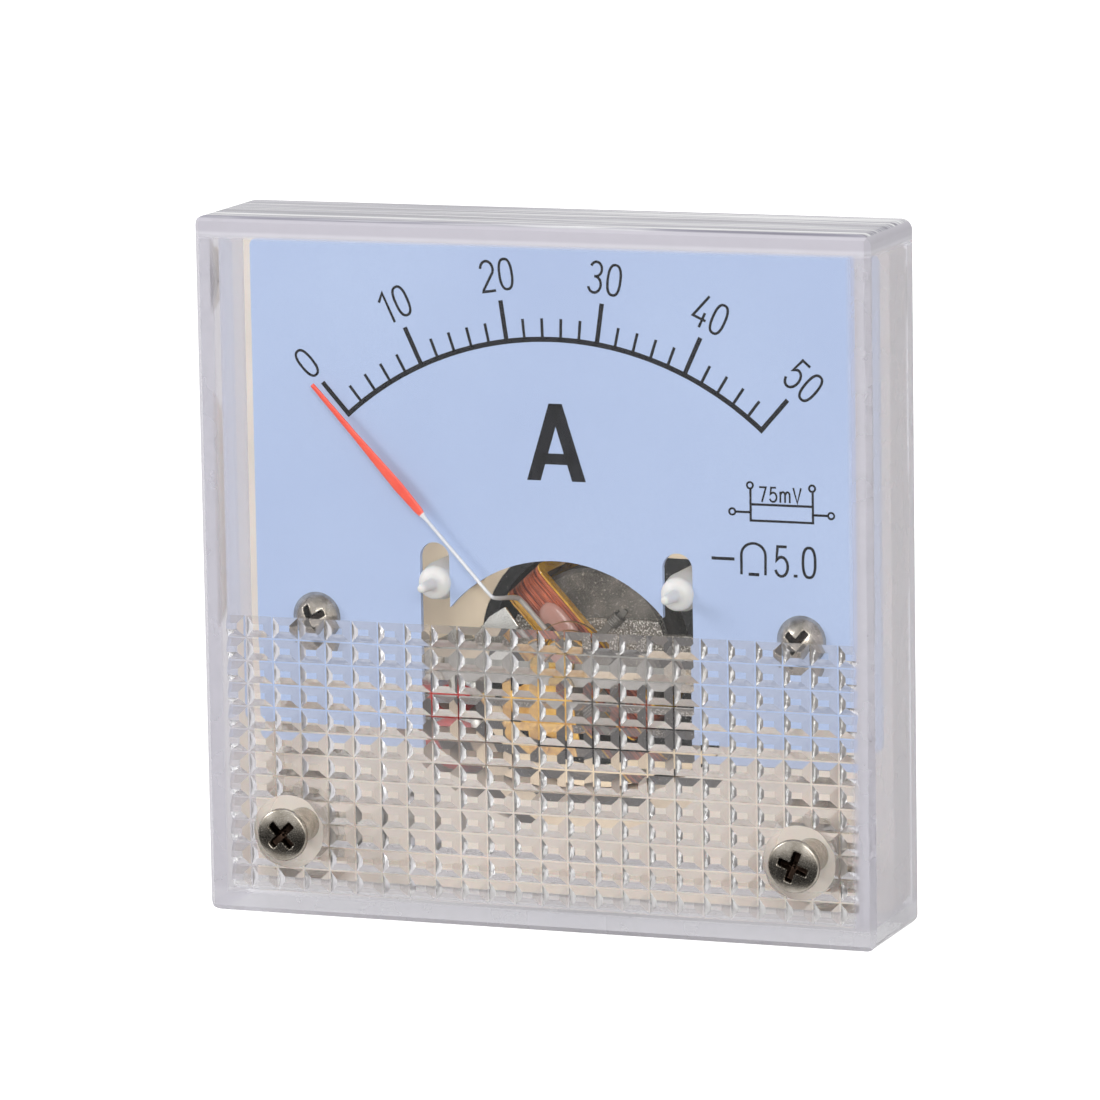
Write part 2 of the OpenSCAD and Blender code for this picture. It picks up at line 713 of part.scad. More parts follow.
module coil_former() {
    color([0.85, 0.55, 0.15]) at_rest() {
        along_coil(-coil_w / 2, coil_w / 2)
            coil_loop(coil_half_in, coil_half_in + former_t, coil_inner_front, coil_inner_back, former_t, 0.5);
        for (x = [-coil_half_w, coil_w / 2]) along_coil(x, x + flange_t)
            coil_loop(coil_half_in, coil_half + 0.05, coil_inner_front, coil_inner_back,
                      former_t + winding_t + 0.05, 0.9);
    }
}

module coil_winding() {
    color([0.6, 0.28, 0.14]) at_rest() along_coil(-coil_w / 2 + fit, coil_w / 2 - fit)
        coil_loop(coil_half_in + former_t + fit, coil_half, coil_inner_front - former_t - fit,
                  coil_inner_back + former_t + fit, winding_t - fit, 0.85);
}

// A staff glued to the coil, with a pivot point at its end. It points to -Y.
module staff(coil_y, cup_y, collar_y) {
    tip = cup_y - cup_r + 0.08;
    turned([[0, tip], [0.04, tip], [staff_r, tip + 0.25], [staff_r, collar_y], [0.5, collar_y],
            [0.5, collar_y + spring_w], [staff_r, collar_y + spring_w], [staff_r, coil_y - 0.2],
            [1, coil_y - 0.2], [1, coil_y], [0, coil_y]]);
}

module front_staff() {
    color([0.7, 0.7, 0.72]) at_rest()
        staff(coil_front - 0.05, bridge_back + sheet_t, spring_front_y);
}

module rear_staff() {
    color([0.7, 0.7, 0.72]) at_rest() mirror([0, 1, 0])
        staff(-coil_back - 0.05, -rear_bridge_y + sheet_t, -spring_back_y - spring_w);
}

module front_spring() {
    color([0.8, 0.62, 0.3]) at_pivot() rotate([0, front_arm_turn - 90, 0])
        slab(spring_front_y, spring_front_y + spring_w)
            spiral2d(0.5 + fit + spring_t / 2, spring_r, spring_turns, spring_t);
}

module rear_spring() {
    color([0.8, 0.62, 0.3]) at_pivot() rotate([0, rear_arm_turn - 90, 0])
        slab(spring_back_y, spring_back_y + spring_w) mirror([1, 0])
            spiral2d(0.5 + fit + spring_t / 2, spring_r, spring_turns, spring_t);
}

// The arms that carry the pointer and the weights
module balance_cross() {
    color([0.76, 0.76, 0.78]) at_rest() difference() {
        slab(cross_y, cross_y + sheet_t) {
            circle(0.9);
            link2d([0, 0], [0, -4.6], 0.22);
            link2d([-side_arm, 0], [side_arm, 0], 0.22);
            link2d([0, 0], [0, 2.6], 0.3);
        }
        rod(staff_r + fit, cross_y - eps, cross_y + sheet_t + eps);
    }
}

// Small coils of wire pushed onto the arms
module balance_weights() {
    color([0.55, 0.55, 0.57]) at_rest() translate([0, cross_y + sheet_t / 2, 0]) {
        for (side = [-1, 1]) translate([side * (pin_reach + 0.28), 0, 0])
            weight([0, 90 * side, 0], side_len, 0.6);
        translate([0, 0, -pin_reach - 0.3]) weight([180, 0, 0], tail_len, 0.75);
    }
}

module weight(turn, length, r = 0.5) {
    rotate(turn) difference() {
        cylinder(r = r, h = length, $fn = 32);
        translate([0, 0, -eps]) cylinder(r = 0.27, h = length + 2 * eps, $fn = 32);
    }
}

// The pointer: it lies on the cross, rises through the arch and ends in a flattened blade
module pointer() {
    root_y = cross_y - tube_r - fit;
    bends = [[0, root_y, 0.9], [0, root_y, 4.95], [0, root_y - 0.5, 5.3], [0, pointer_y + 0.3, 5.9],
             [0, pointer_y, 6.15], [0, pointer_y, blade_r + 0.4]];
    color([0.93, 0.93, 0.93]) at_rest() wire(bends, tube_r, sides = 10, steps = 1);
    color([0.95, 0.25, 0.18]) at_rest() slab(pointer_y - blade_t / 2, pointer_y + blade_t / 2)
        polygon([[tube_r, blade_r], [blade_w / 2, blade_r + 2.2], [blade_w / 2, blade_r + 3.8],
                 [tip_w / 2, pointer_r], [-tip_w / 2, pointer_r], [-blade_w / 2, blade_r + 3.8],
                 [-blade_w / 2, blade_r + 2.2], [-tube_r, blade_r]]);
}

// ---- Studs and wiring ----

// A pressed-in stud: head, knurl in the wall, plain shank, then thread drawn at its pitch diameter
module stud(d, head_d, head_t, wall0, wall1, plain_end, end_y) {
    turned([[0, wall0 - head_t], [head_d / 2, wall0 - head_t], [head_d / 2, wall0],
            [d / 2 + 0.3, wall0], [d / 2 + 0.3, wall1], [d / 2, wall1], [d / 2, plain_end],
            [0.45 * d - 0.01, plain_end], [0.45 * d - 0.01, end_y - 0.4], [0.4 * d, end_y], [0, end_y]]);
}

module mounting_studs() {
    color([0.78, 0.66, 0.38]) both_sides(mount_stud_at, mount_stud_at)
        stud(mount_stud_d, 5.4, 1.4, -tray_floor, 0, grip_t, mount_stud_len);
}

module washer(r_in, r_out, y0, y1) {
    difference() {
        rod(r_out, y0, y1);
        rod(r_in, y0 - eps, y1 + eps);
    }
}

module mounting_washers() {
    color([0.75, 0.74, 0.72]) both_sides(mount_stud_at, mount_stud_at)
        washer(mount_stud_d / 2 + 0.1, mount_stud_d + 0.1, grip_t + 0.1, grip_t + 0.6);
}

module mounting_nuts() {
    color([0.78, 0.66, 0.38]) both_sides(mount_stud_at, mount_stud_at)
        hex_nut(1.8 * mount_stud_d, 0.45 * mount_stud_d + fit, grip_t + 0.6, grip_t + 3);
}

module terminal_studs() {
    color([0.78, 0.66, 0.38]) both_sides(terminal_x)
        stud(terminal_d, 6.6, terminal_head_t, barrel_inner - sheet_t, barrel_y, barrel_y + lug_room,
             barrel_y + terminal_len);
}

module terminal_washers() {
    color([0.75, 0.74, 0.72]) both_sides(terminal_x)
        washer(terminal_d / 2 + 0.1, terminal_d + 0.2, barrel_y + lug_room + 0.1, barrel_y + lug_room + 0.9);
}

module terminal_nuts() {
    color([0.78, 0.66, 0.38]) both_sides(terminal_x)
        hex_nut(1.75 * terminal_d, 0.45 * terminal_d + fit, barrel_y + lug_room + 0.9,
                barrel_y + lug_room + 4.1);
}

// Tinned lugs between the studs' heads and the barrel's rear wall
module terminal_lugs() {
    color([0.85, 0.85, 0.84]) for (side = [-1, 1]) translate([side * terminal_x, 0, 0])
        slab(barrel_inner - sheet_t, barrel_inner) difference() {
            union() {
                circle(3);
                link2d([0, 0], [-side * lug_tail, 0], 0.9);
            }
            circle(terminal_d / 2 + 0.3 + fit);
        }
}

module lead_wire_red() {
    color([0.8, 0.1, 0.08]) wire(red_route, wire_d / 2);
}

module lead_wire_black() {
    color([0.12, 0.12, 0.12]) wire(black_route, wire_d / 2);
}

front_cover();
cover_screws();
dial_plate();
dial_screws();
base_housing();
movement_frame();
frame_screws();
yoke();
core_magnet();
front_strap();
rear_strap();
front_bridge();
rear_bridge();
bridge_screws();
front_jewel_screw();
rear_jewel_screw();
zero_arm();
rear_spring_arm();
stop_post_left();
stop_post_right();
solder_tab();
coil_former();
coil_winding();
front_staff();
rear_staff();
front_spring();
rear_spring();
balance_cross();
balance_weights();
pointer();
mounting_studs();
mounting_washers();
mounting_nuts();
terminal_studs();
terminal_washers();
terminal_nuts();
terminal_lugs();
lead_wire_red();
lead_wire_black();
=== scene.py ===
# Small square panel meter: clear cover, blue dial, sprung pointer and the movement behind the arch.
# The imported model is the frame; this script adds the print, the windings, the threads and the finishes.
import bmesh
import bpy
import math
import numpy as np
from mathutils import Matrix, Vector


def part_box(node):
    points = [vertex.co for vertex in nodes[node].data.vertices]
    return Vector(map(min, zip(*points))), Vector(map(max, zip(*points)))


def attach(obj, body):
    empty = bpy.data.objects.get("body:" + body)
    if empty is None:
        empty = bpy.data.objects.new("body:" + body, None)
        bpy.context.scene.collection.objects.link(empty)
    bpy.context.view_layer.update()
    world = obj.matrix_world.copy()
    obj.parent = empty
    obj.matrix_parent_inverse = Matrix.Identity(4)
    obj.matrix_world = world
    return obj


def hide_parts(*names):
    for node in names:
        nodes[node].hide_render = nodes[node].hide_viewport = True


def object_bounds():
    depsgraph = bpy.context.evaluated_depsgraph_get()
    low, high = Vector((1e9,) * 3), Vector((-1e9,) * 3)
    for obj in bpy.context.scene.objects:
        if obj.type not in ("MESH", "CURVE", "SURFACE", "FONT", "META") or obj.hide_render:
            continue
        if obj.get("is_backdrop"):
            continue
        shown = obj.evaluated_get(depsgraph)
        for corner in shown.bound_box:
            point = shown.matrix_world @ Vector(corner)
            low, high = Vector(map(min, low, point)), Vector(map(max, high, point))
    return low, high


mm = 0.001
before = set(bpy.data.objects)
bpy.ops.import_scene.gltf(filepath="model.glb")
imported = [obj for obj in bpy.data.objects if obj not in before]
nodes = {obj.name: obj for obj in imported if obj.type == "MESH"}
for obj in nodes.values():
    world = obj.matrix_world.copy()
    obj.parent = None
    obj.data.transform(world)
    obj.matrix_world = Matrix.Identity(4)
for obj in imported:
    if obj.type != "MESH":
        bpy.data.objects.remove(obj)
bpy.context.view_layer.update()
print("frame loaded:", len(nodes), "nodes")


# Puts points (millimetres, in the frame) and faces into a mesh in metres
def addMesh(name, points, faces, smooth=True):
    mesh = bpy.data.meshes.new(name)
    points = np.asarray(points, float).reshape(-1, 3) * mm
    faces = np.asarray(faces, int)
    size = faces.shape[1]
    mesh.vertices.add(len(points))
    mesh.vertices.foreach_set("co", points.ravel())
    mesh.loops.add(faces.size)
    mesh.loops.foreach_set("vertex_index", faces.ravel())
    mesh.polygons.add(len(faces))
    mesh.polygons.foreach_set("loop_start", np.arange(0, faces.size, size))
    mesh.polygons.foreach_set("loop_total", np.full(len(faces), size))
    mesh.polygons.foreach_set("use_smooth", np.full(len(faces), smooth))
    mesh.update(calc_edges=True)
    piece = bpy.data.objects.new(name, mesh)
    bpy.context.scene.collection.objects.link(piece)
    return piece


# Merges points that fall together, so that seams and poles are closed, and turns the faces outwards
def closeUp(name, sharp=None):
    mesh = bpy.data.objects[name].data
    shape = bmesh.new()
    shape.from_mesh(mesh)
    bmesh.ops.remove_doubles(shape, verts=shape.verts, dist=1e-7)
    bmesh.ops.recalc_face_normals(shape, faces=shape.faces)
    if shape.calc_volume(signed=True) < 0:
        bmesh.ops.reverse_faces(shape, faces=shape.faces)
    shape.to_mesh(mesh)
    shape.free()
    if sharp:
        mesh.set_sharp_from_angle(angle=math.radians(sharp))


# Faces of a grid: each cell's four corners in turn. A closed way joins its last line to the first
def gridFaces(rows, cols, closedRows=False, closedCols=False, flip=False):
    r = np.arange(rows if closedRows else rows - 1)[:, None]
    c = np.arange(cols if closedCols else cols - 1)[None, :]
    r2, c2 = (r + 1) % rows, (c + 1) % cols
    quads = np.stack([r * cols + c, r * cols + c2, r2 * cols + c2, r2 * cols + c], -1).reshape(-1, 4)
    return quads[:, ::-1] if flip else quads


# Joins several sets of points and faces into one
def joined(parts):
    points, faces, base = [], [], 0
    for p, f in parts:
        p = np.asarray(p, float)
        points.append(p)
        faces.append(np.asarray(f, int) + base)
        base += len(p)
    return np.concatenate(points), np.concatenate(faces)


# A smooth route through the given points: each stretch is the cubic that leaves and meets its ends
# along the line between their neighbours
def smoothRoute(route, steps=12):
    p = np.asarray(route, float)
    p0, p1 = np.vstack([p[:1], p[:-2]]), p[:-1]
    p2, p3 = p[1:], np.vstack([p[2:], p[-1:]])
    t = (np.arange(steps) / steps)[None, :, None]
    a, b, c, d = (q[:, None, :] for q in (p0, p1, p2, p3))
    way = 0.5 * (2 * b + (c - a) * t + (2 * a - 5 * b + 4 * c - d) * t ** 2
                 + (3 * b - a - 3 * c + d) * t ** 3)
    return np.vstack([way.reshape(-1, 3), p[-1:]])


# A section carried along a path: at each station the section's two coordinates run along a side
# direction and an upward one, both square to the path. The ends are closed by their mid points
def sweep(path, across, upward, side=None, closed=False):
    path = np.asarray(path, float)
    if closed:
        along = np.roll(path, -1, 0) - np.roll(path, 1, 0)
    else:
        along = np.gradient(path, axis=0)
    along /= np.linalg.norm(along, axis=1)[:, None]
    side = np.broadcast_to(np.asarray(side if side is not None else [0.0, 1.0, 0.0]), path.shape)
    u = side - (side * along).sum(1)[:, None] * along
    u /= np.linalg.norm(u, axis=1)[:, None]
    v = np.cross(along, u)
    across, upward = np.atleast_2d(across), np.atleast_2d(upward)
    rings = path[:, None, :] + across[..., None] * u[:, None, :] + upward[..., None] * v[:, None, :]
    n, k = len(path), across.shape[1]
    quads = gridFaces(n, k, closedRows=closed, closedCols=True, flip=True)
    faces = np.vstack([quads[:, [0, 1, 2]], quads[:, [0, 2, 3]]])
    points = rings.reshape(-1, 3)
    if closed:
        return points, faces
    ring = np.arange(k)
    nxt, mid, last = (ring + 1) % k, n * k, (n - 1) * k
    start = np.stack([np.full(k, mid), ring, nxt], -1)
    end = np.stack([np.full(k, mid + 1), last + nxt, last + ring], -1)
    return np.vstack([points, path[:1], path[-1:]]), np.vstack([faces, start, end])


# A round section of the given number of sides
def roundSection(r, sides=16):
    a = np.arange(sides) / sides * 2 * np.pi
    return r * np.cos(a), r * np.sin(a)


# A profile of (radius, distance along +Y) turned round an axis parallel to Y through x, z
def turned(profile, x=0.0, z=0.0, sides=48):
    profile = np.asarray(profile, float)
    a = np.arange(sides) / sides * 2 * np.pi
    r, y = profile[:, 0][:, None], profile[:, 1][:, None]
    points = np.stack([x + r * np.cos(a), np.broadcast_to(y, (len(profile), sides)), z + r * np.sin(a)], -1)
    quads = gridFaces(len(profile), sides, closedCols=True)
    return points.reshape(-1, 3), np.vstack([quads[:, [0, 1, 2]], quads[:, [0, 2, 3]]])

# An sRGB colour in 0 to 255 as linear values: straight below 0.04045, a power of 2.4 above it
def srgb(r, g, b):
    c = np.array([r, g, b]) / 255
    c = np.where(c <= 0.04045, c / 12.92, ((c + 0.055) / 1.055) ** 2.4)
    return (*c.tolist(), 1.0)


class Finish:
    # A material with a Principled shader; every pattern reads Object coordinates scaled to millimetres
    def __init__(self, name, color, rough=0.5, metal=0.0, **sockets):
        self.mat = bpy.data.materials.new(name)
        self.mat.use_nodes = True
        self.tree = self.mat.node_tree
        self.shader = self.tree.nodes["Principled BSDF"]
        self.shader.inputs["Base Color"].default_value = color
        self.shader.inputs["Roughness"].default_value = rough
        self.shader.inputs["Metallic"].default_value = metal
        for key, value in sockets.items():
            self.shader.inputs[key.replace("_", " ")].default_value = value

    def add(self, kind, **values):
        node = self.tree.nodes.new(kind)
        for key, value in values.items():
            setattr(node, key, value)
        return node

    def link(self, a, b):
        self.tree.links.new(a, b)

    def coords(self, scale=(1, 1, 1), centre=(0, 0, 0), turn=(0, 0, 0)):
        where = self.add("ShaderNodeTexCoord")
        mapping = self.add("ShaderNodeMapping")
        mapping.inputs["Location"].default_value = [-c * 1000 * s for c, s in zip(centre, scale)]
        mapping.inputs["Rotation"].default_value = turn
        mapping.inputs["Scale"].default_value = [1000 * s for s in scale]
        self.link(where.outputs["Object"], mapping.inputs["Vector"])
        return mapping.outputs["Vector"]

    def noise(self, size, detail=3, stretch=(1, 1, 1), rough=0.5, turn=None):
        n = self.add("ShaderNodeTexNoise")
        n.inputs["Scale"].default_value = 1 / size
        n.inputs["Detail"].default_value = detail
        n.inputs["Roughness"].default_value = rough
        if turn is None:
            where = self.coords(stretch)
        else:
            # turned first, then stretched along the piece's own directions
            pull = self.add("ShaderNodeVectorMath", operation="MULTIPLY")
            self.link(self.coords(turn=turn), pull.inputs[0])
            pull.inputs[1].default_value = stretch
            where = pull.outputs[0]
        self.link(where, n.inputs["Vector"])
        return n.outputs["Fac"]

    def axis(self, name):
        parts = self.add("ShaderNodeSeparateXYZ")
        self.link(self.coords(), parts.inputs[0])
        return parts.outputs[name]

    def step(self, value, low, high, to=(0, 1)):
        r = self.add("ShaderNodeMapRange", interpolation_type="SMOOTHSTEP")
        for key, v in (("From Min", low), ("From Max", high), ("To Min", to[0]), ("To Max", to[1])):
            r.inputs[key].default_value = v
        self.link(value, r.inputs["Value"])
        return r.outputs["Result"]

    def ramp(self, value, stops):
        r = self.add("ShaderNodeValToRGB")
        parts = r.color_ramp.elements
        for i, (at, color) in enumerate(stops):
            e = parts[i] if i < 2 else parts.new(at)
            e.position = at
            e.color = color
        self.link(value, r.inputs["Fac"])
        return r.outputs["Color"]

    def mix(self, factor, a, b):
        m = self.add("ShaderNodeMix", data_type="RGBA")
        for socket, value in ((m.inputs["Factor"], factor), (m.inputs["A"], a), (m.inputs["B"], b)):
            if hasattr(value, "links"):
                self.link(value, socket)
            else:
                socket.default_value = value
        m.clamp_result = True
        return [o for o in m.outputs if o.type == "RGBA"][0]

    def math(self, op, a, b=0.0):
        m = self.add("ShaderNodeMath", operation=op)
        for i, value in enumerate((a, b)):
            if hasattr(value, "links"):
                self.link(value, m.inputs[i])
            else:
                m.inputs[i].default_value = value
        return m.outputs[0]

    def useColor(self, value):
        self.link(value, self.shader.inputs["Base Color"])

    def useRough(self, value, low, high):
        r = self.add("ShaderNodeMapRange")
        r.inputs["To Min"].default_value = low
        r.inputs["To Max"].default_value = high
        self.link(value, r.inputs["Value"])
        self.link(r.outputs["Result"], self.shader.inputs["Roughness"])

    def bump(self, value, strength, depth=0.05):
        b = self.add("ShaderNodeBump")
        b.inputs["Strength"].default_value = strength
        b.inputs["Distance"].default_value = depth * mm
        self.link(value, b.inputs["Height"])
        if self.shader.inputs["Normal"].is_linked:
            self.link(self.shader.inputs["Normal"].links[0].from_socket, b.inputs["Normal"])
        self.link(b.outputs["Normal"], self.shader.inputs["Normal"])


# A darker and a lighter shade of a colour mixed by noise, with grain in the gloss and a fine bump
def mottled(name, color, rough, metal=0.0, size=1.0, spread=0.15, grain=0.05, bump=0.1, stretch=(1, 1, 1),
            **sockets):
    f = Finish(name, color, rough, metal, **sockets)
    n = f.noise(size, 4, stretch)
    dark = tuple(c * (1 - spread) for c in color[:3]) + (1,)
    light = tuple(min(1, c * (1 + spread)) for c in color[:3]) + (1,)
    f.useColor(f.ramp(n, [(0.3, dark), (0.7, light)]))
    fine = f.noise(grain, 3, stretch)
    f.useRough(fine, max(0.02, rough * 0.75), min(1, rough * 1.25))
    if bump:
        f.bump(fine, bump, grain * 0.6)
    return f.mat


finishes = {}
# the top wall's grey tint is painted shade, and its two streak greys are painted reflections
milk = {"edge": (20.9, 21.3), "wall": 0.3, "topEdge": (21.0, 21.4), "top": 0.6, "gateX": 2.0, "gateHalf": 2.6,
        "gateTop": -21.3, "gate": 0.12, "facet": 0.2, "clear": (0.985, 0.985, 0.985, 1),
        "tint": srgb(218, 216, 224), "topShadeTint": srgb(203, 200, 209), "facetTint": srgb(226, 221, 219),
        "reflectionStreakDark": srgb(128, 126, 138), "reflectionStreakMid": srgb(164, 162, 174)}


# Clear in the window, a little milky in the walls and on the sloping prism faces, with the moulding
# gate's dull patch on the lower edge, and painted shade and painted reflection streaks on the top wall
def coverFinish():
    f = Finish("clearCover", milk["clear"], 0.02, IOR=1.49, Specular_IOR_Level=0.16)
    x, y, z = f.axis("X"), f.axis("Y"), f.axis("Z")
    edge = f.math("MAXIMUM", f.math("ABSOLUTE", x), f.math("ABSOLUTE", z))
    wall = f.step(edge, *milk["edge"])
    cloud = f.step(f.noise(3.0, 3), 0.3, 0.7, (milk["wall"] * 0.9, milk["wall"] * 1.1))
    level = f.math("MULTIPLY", wall, cloud)
    level = f.math("ADD", level, f.step(z, *milk["topEdge"], (0, milk["top"])))
    aside = f.math("ABSOLUTE", f.math("SUBTRACT", x, milk["gateX"]))
    gate = f.math("MULTIPLY", f.step(aside, milk["gateHalf"], milk["gateHalf"] + 0.1, (1, 0)),
                  f.step(z, milk["gateTop"], milk["gateTop"] + 0.1, (1, 0)))
    level = f.math("ADD", level, f.math("MULTIPLY", gate, milk["gate"]))
    # a prism face is one that looks neither forwards nor sideways, inside the walls
    where = f.add("ShaderNodeTexCoord")
    parts = f.add("ShaderNodeSeparateXYZ")
    f.link(where.outputs["Normal"], parts.inputs[0])
    slope = f.step(f.math("ABSOLUTE", parts.outputs["Y"]), 0.95, 0.97, (1, 0))
    slope = f.math("MULTIPLY", slope, f.step(y, -6.95, -6.85, (1, 0)))
    slope = f.math("MULTIPLY", slope, f.math("MULTIPLY", f.step(edge, 20.9, 21.0, (1, 0)), f.step(y, -8.3, -8.2)))
    level = f.math("ADD", level, f.math("MULTIPLY", slope, milk["facet"]))
    f.link(f.math("SUBTRACT", 1.0, level), f.shader.inputs["Transmission Weight"])
    color = f.mix(wall, milk["clear"], milk["tint"])
    # painted shade: the inside of the top wall is tinted grey, and its outer face carries painted reflections,
    # streaks along its length from dark grey to a painted white highlight
    reflectionStreak = f.noise(0.5, 3, (0.02, 1, 0.02), rough=0.6)
    paintedReflectionLines = f.ramp(reflectionStreak, [(0.36, milk["reflectionStreakDark"]), (0.5, milk["reflectionStreakMid"]), (0.66, (1, 1, 1, 1))])
    color = f.mix(f.step(z, 21.4, 21.6), color, milk["topShadeTint"])
    color = f.mix(f.step(z, 22.3, 22.4), color, paintedReflectionLines)
    f.useColor(f.mix(slope, color, milk["facetTint"]))
    f.bump(f.noise(0.9, 4), 0.02, 0.1)
    return f.mat


# Pale blue paint: broad noise between two blues, with fine specks of a third over it
def dialFinish():
    f = Finish("dialPaint", srgb(181, 198, 232), 0.5)
    broad = f.noise(14, 2)
    speck = f.noise(0.12, 2)
    base = f.ramp(broad, [(0.3, srgb(180, 197, 232)), (0.7, srgb(187, 204, 237))])
    f.useColor(f.mix(f.ramp(speck, [(0.35, (0, 0, 0, 1)), (0.75, (0.5, 0.5, 0.5, 1))]), base,
                     srgb(172, 190, 226)))
    f.shader.inputs["Specular IOR Level"].default_value = 0.2
    f.bump(f.noise(0.06, 2), 0.15, 0.02)
    return f.mat


# Rough metal: broad noise between a low and a high grey, with painted glints, specks of painted highlight, where
# fine noise passes a level
def magnetFinish(name, low, high, paintedGlint, much):
    f = Finish(name, low, 0.42, 0.55)
    grit = f.noise(0.16, 5, rough=0.7)
    base = f.ramp(f.noise(1.6, 3), [(0.3, low), (0.7, high)])
    spots = f.noise(0.13, 3, rough=0.6)
    f.useColor(f.mix(f.ramp(spots, [(much, (0, 0, 0, 1)), (much + 0.12, (1, 1, 1, 1))]), base, paintedGlint))
    f.useRough(grit, 0.22, 0.6)
    f.bump(grit, 0.9, 0.1)
    return f.mat


# Nickel that darkens into the cross, by the depth that the screw's mesh carries: painted shade in the recess
def recessFinish():
    f = Finish("nickelHead", srgb(176, 168, 156), 0.24, 1.0)
    depth = f.add("ShaderNodeAttribute", attribute_name="pit").outputs["Fac"]
    tone = f.ramp(f.noise(0.8, 4), [(0.3, srgb(150, 142, 130)), (0.7, srgb(196, 189, 178))])
    # painted shade: dark brown where the cross is deepest
    f.useColor(f.mix(f.step(depth, 0.1, 0.45), tone, srgb(44, 34, 28)))
    f.useRough(f.noise(0.05, 3), 0.16, 0.34)
    f.bump(f.noise(0.06, 3), 0.12, 0.03)
    return f.mat


# Black steel, with pale specks where noise is highest
def yokeFinish():
    f = Finish("blackSteel", srgb(14, 14, 15), 0.32, 0.1)
    grit = f.noise(0.11, 4, rough=0.7)
    paleSpecks = f.noise(0.17, 2)
    f.useColor(f.ramp(paleSpecks, [(0.66, srgb(13, 13, 14)), (0.7, srgb(190, 190, 184))]))
    f.useRough(grit, 0.2, 0.5)
    f.bump(grit, 0.5, 0.05)
    return f.mat


# Fine turns of wire: a shade that changes quickly across the coil and slowly along it
def copperFinish():
    f = Finish("copperWinding", srgb(160, 78, 50), 0.34, 0.45, Coat_Weight=0.2)
    turn = (0, math.radians(42.35), 0)
    line = f.noise(0.11, 1, (1, 0.03, 0.03), turn=turn)
    broad = f.noise(0.8, 2)
    base = f.ramp(line, [(0.38, srgb(92, 30, 14)), (0.62, srgb(214, 112, 70))])
    f.useColor(f.mix(f.step(broad, 0.3, 0.7, (0, 0.45)), base, srgb(126, 54, 38)))
    f.bump(line, 0.3, 0.04)
    return f.mat


finishes["cover"] = coverFinish()

# name: (material, colour, roughness, metal, size of the mottling, its spread, size of the grain, bump)
plainFinishes = {
    "nickel": ("nickelPlate", srgb(200, 192, 180), 0.24, 1.0, 0.8, 0.12, 0.05, 0.12),
    "cream": ("creamPlastic", srgb(226, 216, 206), 0.42, 0, 5, 0.05, 0.08, 0.08),
    "steel": ("sheetSteel", srgb(165, 162, 156), 0.33, 1.0, 0.6, 0.15, 0.04, 0.15),
    "brass": ("turnedBrass", srgb(214, 178, 104), 0.25, 1.0, 1.2, 0.12, 0.05, 0.1),
    "tin": ("tinned", srgb(228, 228, 222), 0.28, 1.0, 0.7, 0.08, 0.06, 0.2),
    "nylon": ("whiteNylon", srgb(232, 230, 226), 0.45, 0, 1.5, 0.03, 0.06, 0.05),
    "tan": ("tanFrame", srgb(252, 232, 204), 0.5, 0, 2, 0.06, 0.08, 0.1),
    "amber": ("amberVarnish", srgb(255, 172, 22), 0.12, 0.15, 0.35, 0.35, 0.09, 0.35),
    "lacquer": ("lacqueredBrass", srgb(246, 176, 84), 0.2, 0.4, 0.8, 0.4, 0.35, 0.5),
    "fineBronze": ("fineBronze", srgb(150, 112, 66), 0.35, 1.0, 0.5, 0.1, 0.04, 0.05),
    "bronze": ("springBronze", srgb(214, 170, 96), 0.25, 1.0, 0.5, 0.1, 0.04, 0.05),
    "dull": ("dullBridge", srgb(158, 156, 152), 0.5, 0.7, 0.6, 0.1, 0.06, 0.2),
    "grey": ("greyWire", srgb(112, 108, 102), 0.45, 0.7, 0.3, 0.15, 0.05, 0.2),
    "red": ("redInsulation", srgb(196, 24, 24), 0.35, 0, 1, 0.08, 0.08, 0.05),
    "black": ("blackInsulation", srgb(30, 30, 32), 0.4, 0, 1, 0.1, 0.08, 0.05),
    "white": ("whitePaint", srgb(236, 236, 238), 0.4, 0, 1, 0.04, 0.05, 0.05),
    "ink": ("blackInk", srgb(13, 14, 22), 0.6, 0, 0.5, 0.1, 0.05, 0.0)}
plainExtras = {"cream": {"Subsurface_Weight": 0.15, "Subsurface_Scale": 0.001},
               "nylon": {"Subsurface_Weight": 0.15, "Subsurface_Scale": 0.0005},
               "amber": {"Coat_Weight": 1.0}, "lacquer": {"Coat_Weight": 0.8},
               "ink": {"Specular_IOR_Level": 0.1}}
for key, values in plainFinishes.items():
    finishes[key] = mottled(*values, **plainExtras.get(key, {}))
finishes["recess"] = recessFinish()
finishes["dial"] = dialFinish()
# the third colour of each is a painted glint: bright specks of painted highlight
finishes["magnet"] = magnetFinish("sinteredMagnet", srgb(92, 88, 82), srgb(138, 132, 124), srgb(190, 182, 168),
                                  0.58)
finishes["strap"] = magnetFinish("strapSteel", srgb(104, 98, 90), srgb(146, 139, 128), srgb(250, 246, 238), 0.5)
finishes["yoke"] = yokeFinish()
finishes["copper"] = copperFinish()

nodeFinishes = {
    "cover": "front_cover", "dial": "dial_plate", "cream": "base_housing", "tan": "movement_frame", "yoke": "yoke",
    "magnet": "core_magnet", "strap": "front_strap rear_strap", "lacquer": "zero_arm", "grey": "balance_cross",
    "nickel": "frame_screws cover_screws dial_screws bridge_screws mounting_studs mounting_nuts",
    "steel": "rear_spring_arm front_staff rear_staff mounting_washers terminal_washers",
    "dull": "front_bridge rear_bridge balance_weights",
    "brass": "front_jewel_screw rear_jewel_screw terminal_studs terminal_nuts",
    "nylon": "stop_post_left stop_post_right", "tin": "solder_tab terminal_lugs", "amber": "coil_former",
    "copper": "coil_winding", "bronze": "front_spring rear_spring", "white": "pointer", "red": "lead_wire_red",
    "black": "lead_wire_black"}
for key, names in nodeFinishes.items():
    for name in names.split():
        nodes[name].data.materials.clear()
        nodes[name].data.materials.append(finishes[key])
print("finishes")


prisms = {"base": -7.2, "depth": 0.4, "shown": 0.3}


